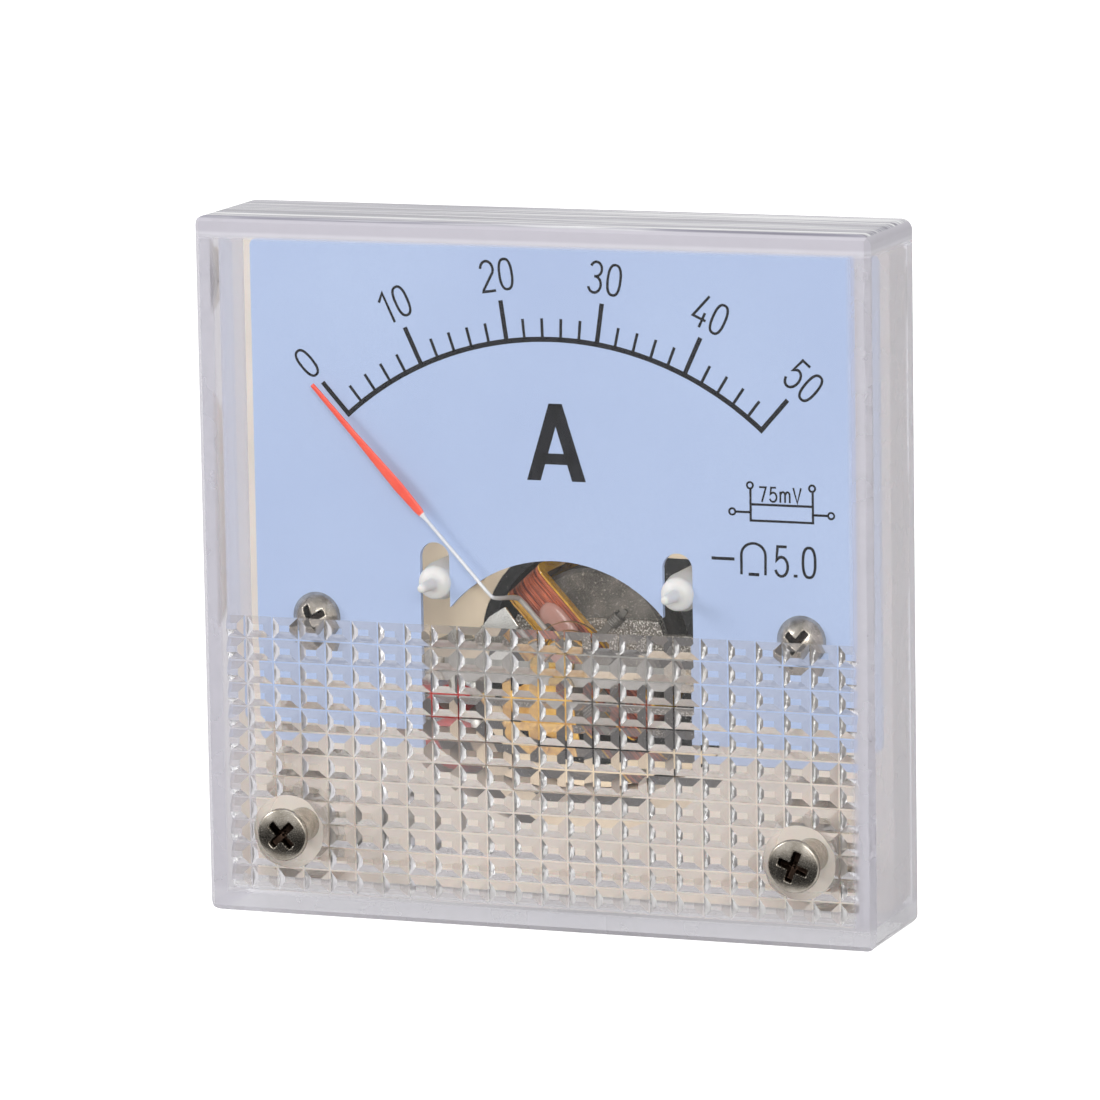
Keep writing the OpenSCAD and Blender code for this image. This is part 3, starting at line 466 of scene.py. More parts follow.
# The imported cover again, merged, with its prisms' depth drawn in evenly so that their lower faces look inside
def makeCover():
    old = nodes["front_cover"].data
    points = np.zeros(len(old.vertices) * 3)
    old.vertices.foreach_get("co", points)
    points = points.reshape(-1, 3) / mm
    corners = np.zeros(len(old.polygons) * 3, int)
    old.polygons.foreach_get("vertices", corners)
    y = points[:, 1]
    inside = (np.abs(points[:, 0]) < 21.0) & (points[:, 2] < -2.5) & (points[:, 2] > -21.3)
    near = inside & (np.abs(y - prisms["base"]) < prisms["depth"] + 0.05)
    points[near, 1] = prisms["base"] + (y[near] - prisms["base"]) * prisms["shown"] / prisms["depth"]
    keys, back = np.unique(np.round(points, 4), axis=0, return_inverse=True)
    faces = back.reshape(-1)[corners].reshape(-1, 3)
    whole = (faces[:, 0] != faces[:, 1]) & (faces[:, 1] != faces[:, 2]) & (faces[:, 2] != faces[:, 0])
    cover = addMesh("cover_moulding", keys, faces[whole], smooth=False)
    cover.data.materials.append(finishes["cover"])
    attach(cover, "case")
    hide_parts("front_cover")
    # lamps and diffuse light pass it, so that the inside is lit as if uncovered
    cover.visible_shadow = False
    cover.visible_diffuse = False


makeCover()
print("cover")

crossScrews = {"cover": {"spots": ((-17.25, -17.25, 45), (17.25, -17.25, -20)), "seat": -8.7, "r": 1.7, "rise": 0.5,
                         "dome": 0.22, "reach": 1.05, "wide": 0.52, "deep": 0.75, "shank": (1.1, -1.6)},
               "dial": {"spots": ((-16.4, -3.8, 30), (16.4, -3.8, 52)), "seat": -3.8, "r": 1.62, "rise": 1.1,
                        "dome": 1.0, "reach": 0.95, "wide": 0.46, "deep": 0.7, "shank": (0.9, -0.8)}}


# A head as a height over a disc: a crown that falls off as a power of the radius, less a cross of two bars
# whose floors slope down to the middle
def screwHead(s, x, z, turn):
    rings, sides = 56, 112
    r = s["r"] * np.linspace(0, 1, rings)[:, None] ** 0.85
    a = np.arange(sides)[None, :] / sides * 2 * np.pi
    u, v = r * np.cos(a), r * np.sin(a)
    out = r / s["r"]
    crown = s["rise"] - s["dome"] * out ** 2.4 - 0.12 * np.clip((out - 0.93) / 0.07, 0, 1) ** 2
    crown = np.maximum(crown, 0.03)
    depth = np.zeros_like(u)
    for p, q in ((np.abs(u), np.abs(v)), (np.abs(v), np.abs(u))):
        side = np.clip((s["wide"] / 2 - q) / 0.07, 0, 1)
        end = np.clip((s["reach"] - p) / 0.16, 0, 1)
        depth = np.maximum(depth, side * end * s["deep"] * (1 - 0.5 * p / s["reach"]))
    y = s["seat"] - crown + depth
    body, floorY = s["shank"]
    skirt = np.array([[s["r"], s["seat"]], [body, s["seat"]], [body, floorY - 0.6], [0, floorY]])
    r = np.vstack([r, skirt[:, :1]])
    y = np.vstack([y, np.broadcast_to(skirt[:, 1:], (len(skirt), sides))])
    pit = np.vstack([depth / s["deep"], np.zeros((len(skirt), sides))])
    b = a + math.radians(turn)
    points = np.stack([x + r * np.cos(b), y, z + r * np.sin(b)], -1)
    return points.reshape(-1, 3), gridFaces(len(r), sides, closedCols=True), pit.ravel()


def makeCrossScrews():
    for name, s in crossScrews.items():
        made = [screwHead(s, *spot) for spot in s["spots"]]
        points, faces = joined([screw[:2] for screw in made])
        piece = addMesh(name + "_cross_screws", points, faces)
        pit = piece.data.attributes.new("pit", "FLOAT", "POINT")
        pit.data.foreach_set("value", np.concatenate([screw[2] for screw in made]))
        piece.data.materials.append(finishes["recess"])
        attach(piece, "case")
        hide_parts(name + "_screws")


makeCrossScrews()
print("screws")

stops = {"r": 9.66, "angle": 58.1, "pivotZ": -6.3,
         "profile": ((0.0, -6.3), (0.16, -6.3), (0.27, -6.2), (0.31, -6.0), (0.36, -5.2), (0.38, -4.55),
                     (0.42, -4.32), (0.72, -4.22), (0.95, -4.1), (1.06, -3.95), (1.1, -3.7), (1.08, -3.35),
                     (1.25, -2.9), (1.25, 2.5), (0.0, 2.5))}


# Each post is a moulded profile turned round its own axis, with a long thin nose in the pointer's way
def makePosts():
    angle = math.radians(stops["angle"])
    z = stops["pivotZ"] + stops["r"] * math.cos(angle)
    for name, side in (("left", -1), ("right", 1)):
        points, faces = turned(stops["profile"], side * stops["r"] * math.sin(angle), z, 48)
        piece = addMesh("post_" + name, points, faces[:, ::-1])
        piece.data.materials.append(finishes["nylon"])
        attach(piece, "case")
        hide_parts("stop_post_" + name)


makePosts()
print("pointer stops")

dial = {"face": -3.812, "pivotZ": -6.3, "arcR": 21.03, "arcLine": 0.33, "sweep": 41.41, "major": 2.63,
        "majorLine": 0.3, "minor": 1.33, "minorLine": 0.19, "numberR": 25.27, "numberHeight": 2.1,
        "numberLine": 0.17, "steps": 5, "parts": 5}


# A flat line of the given width along a path: each corner is cut where the two edges meet
def ribbon(path, width, closed=False):
    p = np.asarray(path, float)
    ahead = np.roll(p, -1, 0) - p
    if not closed:
        ahead[-1] = ahead[-2]
    ahead /= np.linalg.norm(ahead, axis=1)[:, None] + 1e-12
    behind = np.roll(ahead, 1, 0)
    if not closed:
        behind[0] = ahead[0]
    normal = np.stack([-(ahead + behind)[:, 1], (ahead + behind)[:, 0]], -1)
    normal /= np.linalg.norm(normal, axis=1)[:, None] + 1e-12
    square = np.stack([-ahead[:, 1], ahead[:, 0]], -1)
    reach = np.clip(1 / np.maximum((normal * square).sum(1), 0.3), 1, 2.2)[:, None] * width / 2
    points = np.stack([p + normal * reach, p - normal * reach], 1).reshape(-1, 2)
    return points, gridFaces(len(p), 2, closedRows=closed)


# Points of an ellipse's arc: the centre and the radii times the cosine and sine of even steps of angle
def arcPath(cx, cy, rx, ry, a0, a1, steps=14):
    a = np.radians(np.linspace(a0, a1, steps))
    return np.stack([cx + rx * np.cos(a), cy + ry * np.sin(a)], -1)


# Each figure is drawn by single lines in a box one high and half as wide
def figurePaths(sign):
    s = 0.04
    if sign == "0":
        a = np.linspace(0, 2 * np.pi, 33)[:-1]
        c, d = np.cos(a), np.sin(a)
        e = 2 / 2.5
        return [(np.stack([0.25 + 0.2 * np.sign(c) * abs(c) ** e, 0.5 + 0.46 * np.sign(d) * abs(d) ** e], -1),
                 True)]
    shapes = {
        "1": [[(0.06, 0.74), (0.28, 0.96), (0.28, 0)]],
        "2": [np.vstack([arcPath(0.25, 0.71, 0.2, 0.25, 172, -30), [(0.07, 0.1), (0.05, s), (0.46, s)]])],
        "3": [np.vstack([arcPath(0.24, 0.74, 0.18, 0.22, 160, -85), [(0.2, 0.52)]]),
              arcPath(0.24, 0.27, 0.2, 0.25, 100, -160)],
        "4": [[(0.3, 1), (0.05, 0.26), (0.49, 0.26)], [(0.37, 0.48), (0.37, 0)]],
        "5": [np.vstack([[(0.42, 0.96), (0.12, 0.96), (0.08, 0.53)], arcPath(0.24, 0.34, 0.21, 0.3, 110, -160)])],
        "7": [[(0.04, 0.96), (0.44, 0.96), (0.2, 0)]],
        ".": [[(0.04, 0.07), (0.17, 0.07)]],
        "m": [[(0.05, 0), (0.05, 0.72)],
              np.vstack([[(0.05, 0.5)], arcPath(0.2, 0.5, 0.13, 0.2, 120, 0, 8), [(0.33, 0)]]),
              np.vstack([[(0.33, 0.5)], arcPath(0.48, 0.5, 0.13, 0.2, 120, 0, 8), [(0.61, 0)]])],
        "V": [[(0.02, 1), (0.25, 0.02), (0.48, 1)]],
    }
    return [(np.asarray(path, float), False) for path in shapes[sign]]


figureWidth = {".": 0.2, "m": 0.68, "1": 0.42}


# Figures side by side, centred at a place and turned to stand along a radius
def figures(text, place, height, line, turn=0.0, gap=0.09, squeeze=1.0):
    widths = [figureWidth.get(sign, 0.5) for sign in text]
    total = sum(widths) + gap * (len(text) - 1)
    parts, x = [], -total / 2
    c, s = math.cos(turn), math.sin(turn)
    for sign, width in zip(text, widths):
        for path, closed in figurePaths(sign):
            q = (path + [x, -0.5]) * [height * squeeze, height]
            parts.append(ribbon(q @ np.array([[c, -s], [s, c]]) + place, line, closed))
        x += width + gap
    return joined(parts)


# A line of even width round a circle
def ringLine(cx, cz, r, line):
    return ribbon(arcPath(cx, cz, r, r, 0, 360, 25)[:-1], line, True)


# Flat faces laid on the dial's face: a face whose corners run clockwise is turned, so that all look towards -Y
def printPiece(name, parts):
    points, faces = joined(parts)
    corners = points[faces]
    after = np.roll(corners, -1, 1)
    area = (corners[..., 0] * after[..., 1] - corners[..., 1] * after[..., 0]).sum(1)
    faces = np.where(area[:, None] < 0, faces[:, ::-1], faces)
    flat = np.stack([points[:, 0], np.full(len(points), dial["face"]), points[:, 1]], -1)
    piece = addMesh(name, flat, faces, smooth=False)
    piece.data.materials.append(finishes["ink"])
    piece.visible_shadow = False
    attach(piece, "case")


# The arc and its marks: even steps of angle about the pivot, a longer mark and a figure at each fifth
def makeScale():
    pivot = np.array([0, dial["pivotZ"]])
    sweep = math.radians(dial["sweep"])
    a = np.linspace(-sweep, sweep, 121)
    arc = dial["arcR"] * np.stack([np.sin(a), np.cos(a)], -1) + pivot
    parts = [ribbon(arc, dial["arcLine"])]
    count = dial["steps"] * dial["parts"]
    for i, turn in enumerate(np.linspace(-sweep, sweep, count + 1)):
        big = i % dial["parts"] == 0
        way = np.array([math.sin(turn), math.cos(turn)])
        length = dial["major"] if big else dial["minor"]
        inner = dial["arcR"] - dial["arcLine"] / 2
        parts.append(ribbon([pivot + way * inner, pivot + way * (dial["arcR"] + length)],
                            dial["majorLine"] if big else dial["minorLine"]))
        if big:
            value = str(i // dial["parts"] * 10)
            parts.append(figures(value, pivot + way * dial["numberR"], dial["numberHeight"],
                                 dial["numberLine"], turn))
    printPiece("scale_print", parts)


# The unit is a bold A with a crossbar, as three four-sided faces
unit = [[(-1.8, 5.7), (-0.88, 5.7), (0.62, 10.64), (-0.28, 10.64)],
        [(2.16, 5.7), (1.24, 5.7), (-0.28, 10.64), (0.62, 10.64)],
        [(-1.1, 6.75), (1.4, 6.75), (1.2, 7.45), (-0.9, 7.45)]]
shunt = {"left": 13.13, "right": 17.24, "low": 3.73, "high": 4.76, "line": 0.15}


# Lines on the dial: a shunt with its four ends, then the signs for direct current and a moving coil
def makeSymbols():
    printPiece("unit_print", [(leg, [[0, 1, 2, 3]]) for leg in unit])
    left, right, low, high, line = shunt.values()
    parts = [ribbon([(left, low), (right, low), (right, high), (left, high)], line, True),
             ribbon([(left, high), (left, 5.76)], line), ribbon([(right, high), (right, 5.71)], line),
             ribbon([(12.1, 4.25), (left, 4.25)], line), ribbon([(right, 4.23), (18.25, 4.23)], line)]
    parts += [ringLine(x, z, 0.2, 0.13) for x, z in ((13.1, 5.96), (17.2, 5.91), (11.91, 4.25), (18.44, 4.23))]
    parts.append(figures("75mV", np.array([15.08, 5.42]), 0.98, 0.12, 0, 0.13, 1.12))
    parts.append(ribbon([(10.5, 1.23), (12.03, 1.23)], 0.2))
    arch = np.vstack([[(12.48, 0.28)], arcPath(13.28, 1.5, 0.8, 0.78, 180, 0, 20), [(14.07, 0.28)]])
    parts.append(ribbon(arch, 0.17))
    parts.append(ribbon([(12.95, 0.3), (13.65, 0.3)], 0.2))
    parts.append(figures("5.0", np.array([16.05, 1.2]), 2.05, 0.18, 0, 0.1, 0.98))
    printPiece("symbol_print", parts)


makeScale()
makeSymbols()
nodes["dial_plate"].visible_shadow = False  # light comes in all round, so the movement isn't left dark
print("dial print")

coil = {"rest": 42.35, "half": 6.25, "front": 1.0, "back": 9.5, "corner": 0.85, "width": 2.6, "rows": 26,
        "wireR": 0.052}
needle = {"tube": 0.11, "root": 0.17, "rootY": -1.11, "levelY": -4.5, "redFrom": 13.0, "widest": 0.35, "tip": 23.9,
          "tipHalf": 0.15, "flat": 0.09}


# Turns upright points about the pivot to where the coil rests
def atRest(points):
    p = np.asarray(points, float).reshape(-1, 3)
    a = math.radians(coil["rest"])
    return np.stack([p[:, 0] * math.cos(a) - p[:, 2] * math.sin(a), p[:, 1],
                     p[:, 0] * math.sin(a) + p[:, 2] * math.cos(a) + dial["pivotZ"]], -1)


# A tube that lies on the cross, rises and runs out level, pressed flat from the start of the red end
def makeNeedle():
    y0, y1 = needle["rootY"], needle["levelY"]
    route = [(0, y0, 0.9), (0, y0, 2.5), (0, y0, 4.8), (0, y0 - 0.55, 5.36), (0, y1 + 0.45, 5.86),
             (0, y1, 6.3), (0, y1, 8), (0, y1, 10.5), (0, y1, 12.9)]
    path = np.vstack([smoothRoute(route, 8), [(0, y1, r) for r in np.linspace(13, needle["tip"], 60)]])
    r = np.where(path[:, 1] <= y1 + 1e-6, path[:, 2], 0)
    tube = np.interp(path[:, 2], [5.2, 6.2], [needle["root"], needle["tube"]])
    half = np.interp(r, [12.6, 13.05, 13.3, 15.3, 16.6, 19.5, needle["tip"]],
                     [needle["tube"], 0.22, 0.27, needle["widest"], 0.31, 0.21, needle["tipHalf"]])
    thick = np.interp(r, [12.6, 13.3, 15, needle["tip"]],
                      [needle["tube"], 0.1, needle["flat"], needle["flat"]])
    half, thick = np.where(r < 12.6, tube, half), np.where(r < 12.6, tube, thick)
    a = np.arange(20) / 20 * 2 * np.pi
    c, s = np.cos(a), np.sin(a)
    points, faces = sweep(path, thick[:, None] * c, half[:, None] * s, side=[0, 1, 0.001])
    piece = addMesh("needle", atRest(points), faces)
    f = Finish("needlePaint", srgb(238, 238, 240), 0.38)
    far = f.add("ShaderNodeVectorMath", operation="LENGTH")
    f.link(f.coords((1, 0, 1), (0, 0, dial["pivotZ"] * mm)), far.inputs[0])
    edge = f.add("ShaderNodeMapRange")
    edge.inputs["From Min"].default_value = needle["redFrom"] - 0.05
    edge.inputs["From Max"].default_value = needle["redFrom"] + 0.05
    f.link(far.outputs["Value"], edge.inputs["Value"])
    tone = f.noise(0.7, 3)
    red = f.ramp(tone, [(0.3, srgb(248, 72, 48)), (0.7, srgb(255, 92, 66))])
    white = f.ramp(tone, [(0.3, srgb(226, 226, 230)), (0.7, srgb(244, 244, 246))])
    root = f.step(far.outputs["Value"], 5.3, 6.3, (1, 0))
    f.useColor(f.mix(root, f.mix(edge.outputs["Result"], white, red), srgb(176, 168, 162)))
    f.bump(f.noise(0.05, 2), 0.1, 0.02)
    piece.data.materials.append(f.mat)
    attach(piece, "moving_coil")
    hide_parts("pointer")


# A rounded oblong in Z and Y, as a closed path
def coilLoop(half, front, back, corner, x, steps=7):
    a = np.radians(np.linspace(0, 90, steps))
    quarter = np.stack([np.cos(a), np.sin(a)], -1) * corner
    h, mid, d = half - corner, (front + back) / 2, (back - front) / 2 - corner
    signs = [(1, 1), (-1, 1), (-1, -1), (1, -1)]
    runs = []
    for i, (sz, sy) in enumerate(signs):
        q = quarter if i % 2 == 0 else quarter[::-1]
        runs.append(np.stack([sz * (h + q[:, 0]), mid + sy * (d + q[:, 1])], -1))
    loop = np.vstack(runs)
    # long sides get their own stations, so that the wires can wander a little
    out = []
    for p, q in zip(loop, np.roll(loop, -1, 0)):
        n = max(1, int(np.linalg.norm(q - p) / 0.6))
        t = np.arange(n)[:, None] / n
        out.append(p + (q - p) * t)
    loop = np.vstack(out)
    return np.stack([np.full(len(loop), x), loop[:, 1], loop[:, 0]], -1)


# Side by side turns of fine wire round the coil, each a little out of line with the next
def makeWinding():
    rng = np.random.default_rng(4)
    parts = []
    across, up = roundSection(coil["wireR"], 6)
    for x in np.linspace(-coil["width"] / 2, coil["width"] / 2, coil["rows"]):
        path = coilLoop(coil["half"] - 0.01, coil["front"] + 0.01, coil["back"] - 0.01, coil["corner"], x)
        way = np.arange(len(path)) / len(path) * 2 * np.pi
        path[:, 0] += 0.018 * np.sin(way * 3 + rng.uniform(0, 6.3)) + rng.uniform(-0.012, 0.012)
        lift = rng.uniform(-0.012, 0.02)
        middle = np.array([0, (coil["front"] + coil["back"]) / 2, 0])
        out = path - middle
        out[:, 0] = 0
        path += out / np.linalg.norm(out, axis=1)[:, None] * lift
        parts.append(sweep(path, across, up, side=[1.0, 0, 0], closed=True))
    points, faces = joined(parts)
    piece = addMesh("winding_wires", atRest(points), faces)
    piece.data.materials.append(finishes["copper"])
    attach(piece, "moving_coil")


glue = {"from": 0.7, "long": 3.4, "x": 0.08, "half": 0.86, "tall": 0.38, "gap": 0.03, "ends": 3.2}
varnish = {"from": 0.4, "long": 5.5, "x": -1.04, "half": 0.3, "tall": 0.14, "gap": 0.04, "ends": 6}


# A long low dome: a half ellipse across, flat below, its ends drawn in round
def makeGlue():
    u = np.linspace(0, 1, 41)[:, None]
    v = np.arange(40)[None, :] / 40 * 2 * np.pi
    z = glue["from"] + glue["long"] * u
    lean = np.sqrt(np.clip(1 - np.abs(2 * u - 1) ** glue["ends"], 0, 1))
    x = glue["x"] - glue["half"] * lean * np.cos(v)
    tall = glue["tall"] * (1 + 0.12 * np.sin(5 * u + 1))
    y = coil["front"] - glue["gap"] - tall * lean * np.maximum(np.sin(v), 0)
    points = np.stack(np.broadcast_arrays(x, y, z), -1).reshape(-1, 3)
    piece = addMesh("glue_bead", atRest(points), gridFaces(41, 40, closedCols=True))
    f = Finish("clearGlue", srgb(226, 168, 152), 0.14, Transmission_Weight=0.2, IOR=1.45, Coat_Weight=0.3)
    f.bump(f.noise(0.6, 2), 0.15, 0.1)
    piece.data.materials.append(f.mat)
    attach(piece, "moving_coil")


# A half round run of varnish along the coil's left edge, its height falling off at both ends
def makeVarnish():
    u = np.linspace(0, 1, 31)[:, None]
    v = np.arange(32)[None, :] / 32 * 2 * np.pi
    ends = np.sqrt(np.clip(1 - np.abs(2 * u - 1) ** varnish["ends"], 0, 1))
    x = varnish["x"] - varnish["half"] * ends * np.cos(v) * (1 + 0.1 * np.sin(9 * u))
    y = coil["front"] - varnish["gap"] - varnish["tall"] * ends * np.maximum(np.sin(v), 0)
    z = varnish["from"] + varnish["long"] * u
    points = np.stack(np.broadcast_arrays(x, y, z), -1).reshape(-1, 3)
    piece = addMesh("varnish_run", atRest(points), gridFaces(31, 32, closedCols=True))
    piece.data.materials.append(finishes["amber"])
    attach(piece, "moving_coil")


# along each arm: (direction across, direction up), from, to and radius of the winding
weights = {"wire": 0.1, "arms": (((1, 0), 3.45, 4.5, 0.36), ((-1, 0), 3.45, 4.5, 0.36), ((0, -1), 3.5, 4.7, 0.58))}


# Wire wound round each arm of the cross: a helix whose pitch is the wire's own thickness
def makeWeights():
    parts = []
    wire = weights["wire"]
    y = (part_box("balance_cross")[0].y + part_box("balance_cross")[1].y) / 2 / mm
    for way, start, end, r in weights["arms"]:
        turns = (end - start) / (2 * wire)
        a = np.linspace(0, 2 * np.pi * turns, int(28 * turns))
        along = np.linspace(start + wire, end - wire, len(a))
        if way[1] == 0:
            path = np.stack([way[0] * along, y + r * np.cos(a), r * np.sin(a)], -1)
            side = [float(way[0]), 0.0, 0.0]
        else:
            path = np.stack([r * np.sin(a), y + r * np.cos(a), -along], -1)
            side = [0.0, 0.0, -1.0]
        parts.append(sweep(path, *roundSection(wire, 8), side=side))
    points, faces = joined(parts)
    piece = addMesh("wound_weights", atRest(points), faces)
    piece.data.materials.append(finishes["grey"])
    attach(piece, "moving_coil")
    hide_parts("balance_weights")


spring = {"inner": 0.58, "outer": 2.9, "turns": 4, "thick": 0.055, "wide": 0.25}
springs = {"front_spring": (-1.65, -155, 1), "rear_spring": (10.1, 0, -1)}  # front edge, turn in degrees, hand


# A flat strip wound so that its radius grows evenly with its angle
def makeSpring(name, y, startTurn, hand):
    a = np.linspace(0, 2 * np.pi * spring["turns"], 320)
    r = spring["inner"] + (spring["outer"] - spring["inner"]) * a / a[-1]
    turn = math.radians(startTurn)
    x, z = r * np.sin(hand * a + turn), r * np.cos(hand * a + turn)
    path = np.stack([x, np.full_like(a, y + spring["wide"] / 2), z + dial["pivotZ"]], -1)
    c = np.array([-1, 1, 1, -1]) * spring["wide"] / 2
    s = np.array([-1, -1, 1, 1]) * spring["thick"] / 2
    points, faces = sweep(path, c, s)
    piece = addMesh(name + "_strip", points, faces, smooth=False)
    piece.data.materials.append(finishes["fineBronze" if name.startswith("front") else "bronze"])
    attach(piece, "moving_coil")
    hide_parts(name)


makeNeedle()
makeWinding()
makeGlue()
makeVarnish()
makeWeights()
for name, place in springs.items():
    makeSpring(name, *place)
print("moving coil")

leadR = 0.45
drops = ((-7.2, 0.18, -8.6, 0.75, 0.55), (-5.6, 13.1, 0.15, 0.95, 0.75), (5.5, 13.1, 0.15, 0.95, 0.75),
         (0.5, 10.4, -2.4, 0.6, 0.5))  # solder: middle, radius, height
redRoute = [(-7.4, -0.17, -9), (-8.7, -0.75, -8.9), (-9.9, -0.6, -9.6), (-9.9, 0.7, -10.7), (-9.4, 2.2, -11),
            (-9.6, 6, -10.6), (-8.8, 10, -9.6), (-6.6, 12.6, -8), (-5.6, 12.9, -4.6), (-5.6, 12.78, -0.2)]
blackRoute = [(0.5, 10.0, -2.4), (1, 10.6, -0.6), (3, 12, 0.8), (5.4, 12.78, 0.2)]


# A wire: a circle carried along a smooth route
def makeLead(name, node, route, mat):
    points, faces = sweep(smoothRoute(route, 14), *roundSection(leadR, 20), side=[0.3, 0.2, 0.93])
    piece = addMesh(name, points, faces)
    piece.data.materials.append(mat)
    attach(piece, "case")
    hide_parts(node)


# Flattened round drops: an ellipsoid whose radius waves three times round
def makeSolder():
    parts = []
    for x, y, z, r, tall in drops:
        u = np.linspace(0, np.pi, 17)[:, None]
        v = np.arange(24)[None, :] / 24 * 2 * np.pi
        wave = 1 + 0.06 * np.sin(3 * v + x)
        px = x + r * np.sin(u) * np.cos(v) * wave
        py = y - tall * np.cos(u) + 0 * v
        pz = z + r * np.sin(u) * np.sin(v) * wave
        parts.append((np.stack([px, py, pz], -1).reshape(-1, 3), gridFaces(17, 24, closedCols=True)))
    points, faces = joined(parts)
    piece = addMesh("solder", points, faces)
    piece.data.materials.append(finishes["tin"])
    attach(piece, "case")


tab = {"outline": ((-10.47, -9.2), (-10.47, -6.1), (-7.2, -5.5), (-6.15, -4.05), (-5.05, -3.35), (-4.15, -4.6),
                   (-6.3, -7.5), (-6.3, -9.2)), "front": 0.3, "back": 0.55, "edge": 0.05}
lever = {"front": -2.1, "back": -1.92, "inner": 0.95, "outer": 5.1, "from": -8, "to": 62, "crown": 0.1}


# A flat tab: its outline's points joined to their middle on both faces, with a wall round the edge
def makeTab():
    p = np.array(tab["outline"])
    n = len(p)
    middle = p.mean(0)
    ring = np.arange(n)
    nxt = (ring + 1) % n
    front = np.stack([p[:, 0], np.full(n, tab["front"]), p[:, 1]], -1)
    back = front + [0, tab["back"] - tab["front"], 0]
    points = np.vstack([front, back, [[middle[0], tab["front"], middle[1]], [middle[0], tab["back"], middle[1]]]])
    corners = ((np.full(n, 2 * n), nxt, ring), (np.full(n, 2 * n + 1), ring + n, nxt + n),
               (ring, nxt, nxt + n), (ring, nxt + n, ring + n))
    faces = np.vstack([np.stack(three, -1) for three in corners])
    piece = addMesh("tinned_tab", points, faces[:, ::-1], smooth=False)
    bevel = piece.modifiers.new("edge", "BEVEL")
    bevel.width, bevel.segments = tab["edge"] * mm, 2
    piece.data.materials.append(finishes["tin"])
    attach(piece, "case")
    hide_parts("solder_tab")


# The zero lever's plate: a sector between two radii, its front face crowned along the radius
def makeLever():
    rows, cols = 25, 37
    r = np.linspace(lever["inner"], lever["outer"], rows)[:, None]
    a = np.radians(np.linspace(lever["from"], lever["to"], cols))[None, :]
    x, z = -r * np.sin(a), dial["pivotZ"] - r * np.cos(a)
    crown = lever["crown"] * ((r - r.mean()) / (r.max() - r.mean())) ** 2 + 0 * a
    front = np.stack([x, lever["front"] + crown, z], -1).reshape(-1, 3)
    back = np.stack([x, lever["back"] + crown, z], -1).reshape(-1, 3)
    grid = gridFaces(rows, cols)
    edge = np.concatenate([np.arange(cols - 1), np.arange(rows - 1) * cols + cols - 1,
                           rows * cols - 1 - np.arange(cols - 1), (rows - 1 - np.arange(rows - 1)) * cols])
    nxt = np.roll(edge, -1)
    m = rows * cols
    wall = np.stack([edge, nxt, nxt + m, edge + m], -1)
    piece = addMesh("zero_plate", np.vstack([front, back]), np.vstack([grid, grid[:, ::-1] + m, wall[:, ::-1]]))
    piece.data.materials.append(finishes["lacquer"])
    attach(piece, "case")


makeTab()
makeLever()
makeLead("red_lead", "lead_wire_red", redRoute, finishes["red"])
makeLead("black_lead", "lead_wire_black", blackRoute, finishes["black"])
makeSolder()
print("wires")

threads = {"mounting": {"x": 17.0, "z": 17.0, "d": 3.0, "pitch": 0.5, "from": 3.3, "to": 10.4, "finish": "nickel"},
           "terminal": {"x": 10.0, "z": 0.0, "d": 4.0, "pitch": 0.7, "from": 17.1, "to": 24.9, "finish": "brass"}}


# A thread: the radius swings between root and crest as the distance along, less the turn, passes each pitch
def makeThread(name, s):
    sides, perPitch = 40, 8
    count = int((s["to"] - s["from"]) / s["pitch"] * perPitch)
    y = np.linspace(s["from"], s["to"], count)[:, None]
    a = np.arange(sides)[None, :] / sides * 2 * np.pi
    phase = (y / s["pitch"] + a / (2 * np.pi)) % 1
    swing = np.clip(1.25 * (1 - np.abs(2 * phase - 1)) - 0.12, 0, 1)
    fade = np.clip(np.minimum((y - s["from"]) / 0.4, (s["to"] - y) / 0.4), 0, 1)
    root, crest = s["d"] * 0.43, s["d"] * 0.497
    r = root + (crest - root) * swing * fade
    r = np.vstack([0 * r[:1], r, 0 * r[:1]])
    y = np.vstack([y[:1], y, y[-1:]])
    parts = []
    for side in (-1, 1):
        x = side * s["x"] + r * np.cos(a)
        z = s["z"] + r * np.sin(a)
        points = np.stack([x, np.broadcast_to(y, x.shape), z], -1).reshape(-1, 3)
        parts.append((points, gridFaces(count + 2, sides, closedCols=True)))
    points, faces = joined(parts)
    piece = addMesh(name + "_thread", points, faces)
    piece.data.materials.append(finishes[s["finish"]])
    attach(piece, "case")


for name, size in threads.items():
    makeThread(name, size)
print("threads")

for name in ("post_left", "post_right", "glue_bead", "varnish_run", "solder", "mounting_thread", "terminal_thread",
             "zero_plate", "tinned_tab", "red_lead", "black_lead", "needle", "winding_wires", "wound_weights",
             "front_spring_strip", "rear_spring_strip"):
    closeUp(name)
for name in crossScrews:
    closeUp(name + "_cross_screws", 50)
print("seams and poles closed")

view = {"yaw": 20.609, "elevation": 9.671, "roll": -0.941, "distance": 450.0, "lens": 234.88,
        "target": (1.303, -8.7, 2.046)}
lamps = {"key": {"at": (-0.6, -0.45, 0.32), "size": (0.28, 0.28), "power": 2.3},
         "front": {"at": (0.3, -0.75, 0.3), "size": (0.5, 0.4), "power": 3.0},
         "side": {"at": (0.8, -0.3, 0.2), "size": (0.4, 0.4), "power": 0.4},
         "rear": {"at": (-0.3, 0.55, 0.65), "size": (0.5, 0.5), "power": 2.4},
         "top": {"at": (0.0, 0.1, 0.8), "size": (0.6, 0.6), "power": 0.8}}
surround = {"world": 0.42, "floor": 0.8, "floorGrey": 0.5, "floorHalf": 3000, "seenInside": 0.6}
flagCard = {"across": (-190, 90), "along": (-420, -14), "rise": 0.3, "grey": 0.015}


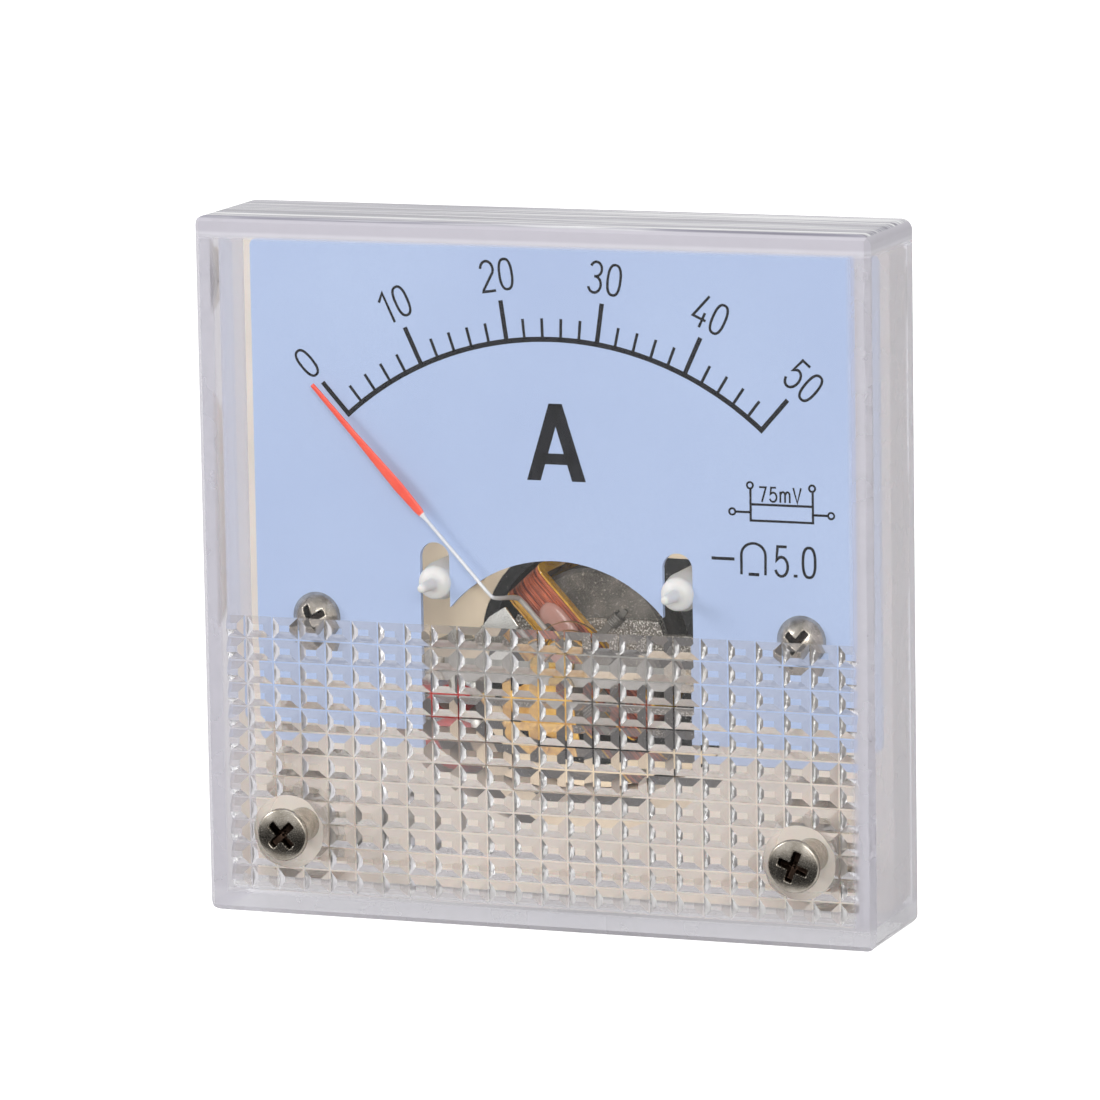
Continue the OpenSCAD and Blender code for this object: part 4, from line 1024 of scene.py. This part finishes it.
# The camera stands off its target by yaw and elevation, and is turned by its roll about that line
def makeCamera():
    yaw, el, roll = (math.radians(view[k]) for k in ("yaw", "elevation", "roll"))
    back = Vector((math.sin(yaw) * math.cos(el), -math.cos(yaw) * math.cos(el), math.sin(el)))
    right = Vector((math.cos(yaw), math.sin(yaw), 0))
    up = back.cross(right)
    right2 = math.cos(roll) * right + math.sin(roll) * up
    up2 = -math.sin(roll) * right + math.cos(roll) * up
    data = bpy.data.cameras.new("camera")
    data.lens = view["lens"]
    data.sensor_width = 36
    data.clip_start, data.clip_end = 0.01, 20
    camera = bpy.data.objects.new("camera", data)
    bpy.context.scene.collection.objects.link(camera)
    turn = Matrix((right2, up2, back)).transposed().to_4x4()
    camera.matrix_world = Matrix.Translation((Vector(view["target"]) + back * view["distance"]) * mm) @ turn
    bpy.context.scene.camera = camera


# A rectangular lamp that looks at the origin
def areaLight(name, at, size, power):
    data = bpy.data.lights.new(name, "AREA")
    data.shape = "RECTANGLE"
    data.size, data.size_y = size
    data.energy = power
    lamp = bpy.data.objects.new(name, data)
    bpy.context.scene.collection.objects.link(lamp)
    lamp.location = at
    lamp.rotation_mode = "QUATERNION"
    lamp.rotation_quaternion = (-Vector(at)).to_track_quat("-Z", "Y")


# One where the camera looks at it, less where a mirror or the clear cover does, none for the light it gives
def seenBy(tree):
    path = tree.nodes.new("ShaderNodeLightPath")
    last = path.outputs["Is Camera Ray"]
    for name in ("Is Glossy Ray", "Is Transmission Ray"):
        part = tree.nodes.new("ShaderNodeMath")
        part.operation = "MULTIPLY"
        part.inputs[1].default_value = surround["seenInside"]
        tree.links.new(path.outputs[name], part.inputs[0])
        more = tree.nodes.new("ShaderNodeMath")
        more.operation = "MAXIMUM"
        tree.links.new(last, more.inputs[0])
        tree.links.new(part.outputs[0], more.inputs[1])
        last = more.outputs[0]
    return last


# A white world and a flat floor, a grid at the object's lowest point
def makeStage():
    world = bpy.data.worlds.new("studio")
    bpy.context.scene.world = world
    world.use_nodes = True
    tree = world.node_tree
    background = tree.nodes["Background"]
    background.inputs["Color"].default_value = (1, 1, 1, 1)
    level = tree.nodes.new("ShaderNodeMapRange")
    level.inputs["To Min"].default_value = surround["world"]
    level.inputs["To Max"].default_value = 1.0
    tree.links.new(seenBy(tree), level.inputs["Value"])
    tree.links.new(level.outputs["Result"], background.inputs["Strength"])

    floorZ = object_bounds()[0].z
    floor = Finish("paleFloor", (*[surround["floorGrey"]] * 3, 1), 0.8)
    floor.shader.inputs["Emission Color"].default_value = (1, 1, 1, 1)
    glow = floor.math("MULTIPLY", seenBy(floor.tree), surround["floor"])
    floor.link(glow, floor.shader.inputs["Emission Strength"])
    n = 40
    t = np.linspace(-1, 1, n) * surround["floorHalf"]
    x, y = np.meshgrid(t, t, indexing="ij")
    stage = addMesh("floor", np.stack([x, y, np.full_like(x, floorZ / mm)], -1), gridFaces(n, n, flip=True))
    stage.data.materials.append(floor.mat)
    stage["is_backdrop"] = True


# A dark card on the floor in front, seen by reflections only, keeps the glare off the window
def makeFlag():
    u, v = np.meshgrid(np.linspace(*flagCard["across"], 15), np.linspace(*flagCard["along"], 21), indexing="ij")
    z = np.full_like(u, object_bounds()[0].z / mm + flagCard["rise"])
    flag = addMesh("flag", np.stack([u, v, z], -1), gridFaces(15, 21, flip=True))
    cloth = Finish("flagCloth", (*[flagCard["grey"]] * 3, 1), 0.95, Specular_IOR_Level=0.0)
    flag.data.materials.append(cloth.mat)
    for way in ("camera", "diffuse", "transmission", "shadow", "volume_scatter"):
        setattr(flag, "visible_" + way, False)
    flag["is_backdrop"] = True


makeCamera()
makeStage()
makeFlag()
for name, lamp in lamps.items():
    areaLight(name, lamp["at"], lamp["size"], lamp["power"])
bpy.context.scene.view_settings.view_transform = "Standard"
print("stage and camera")
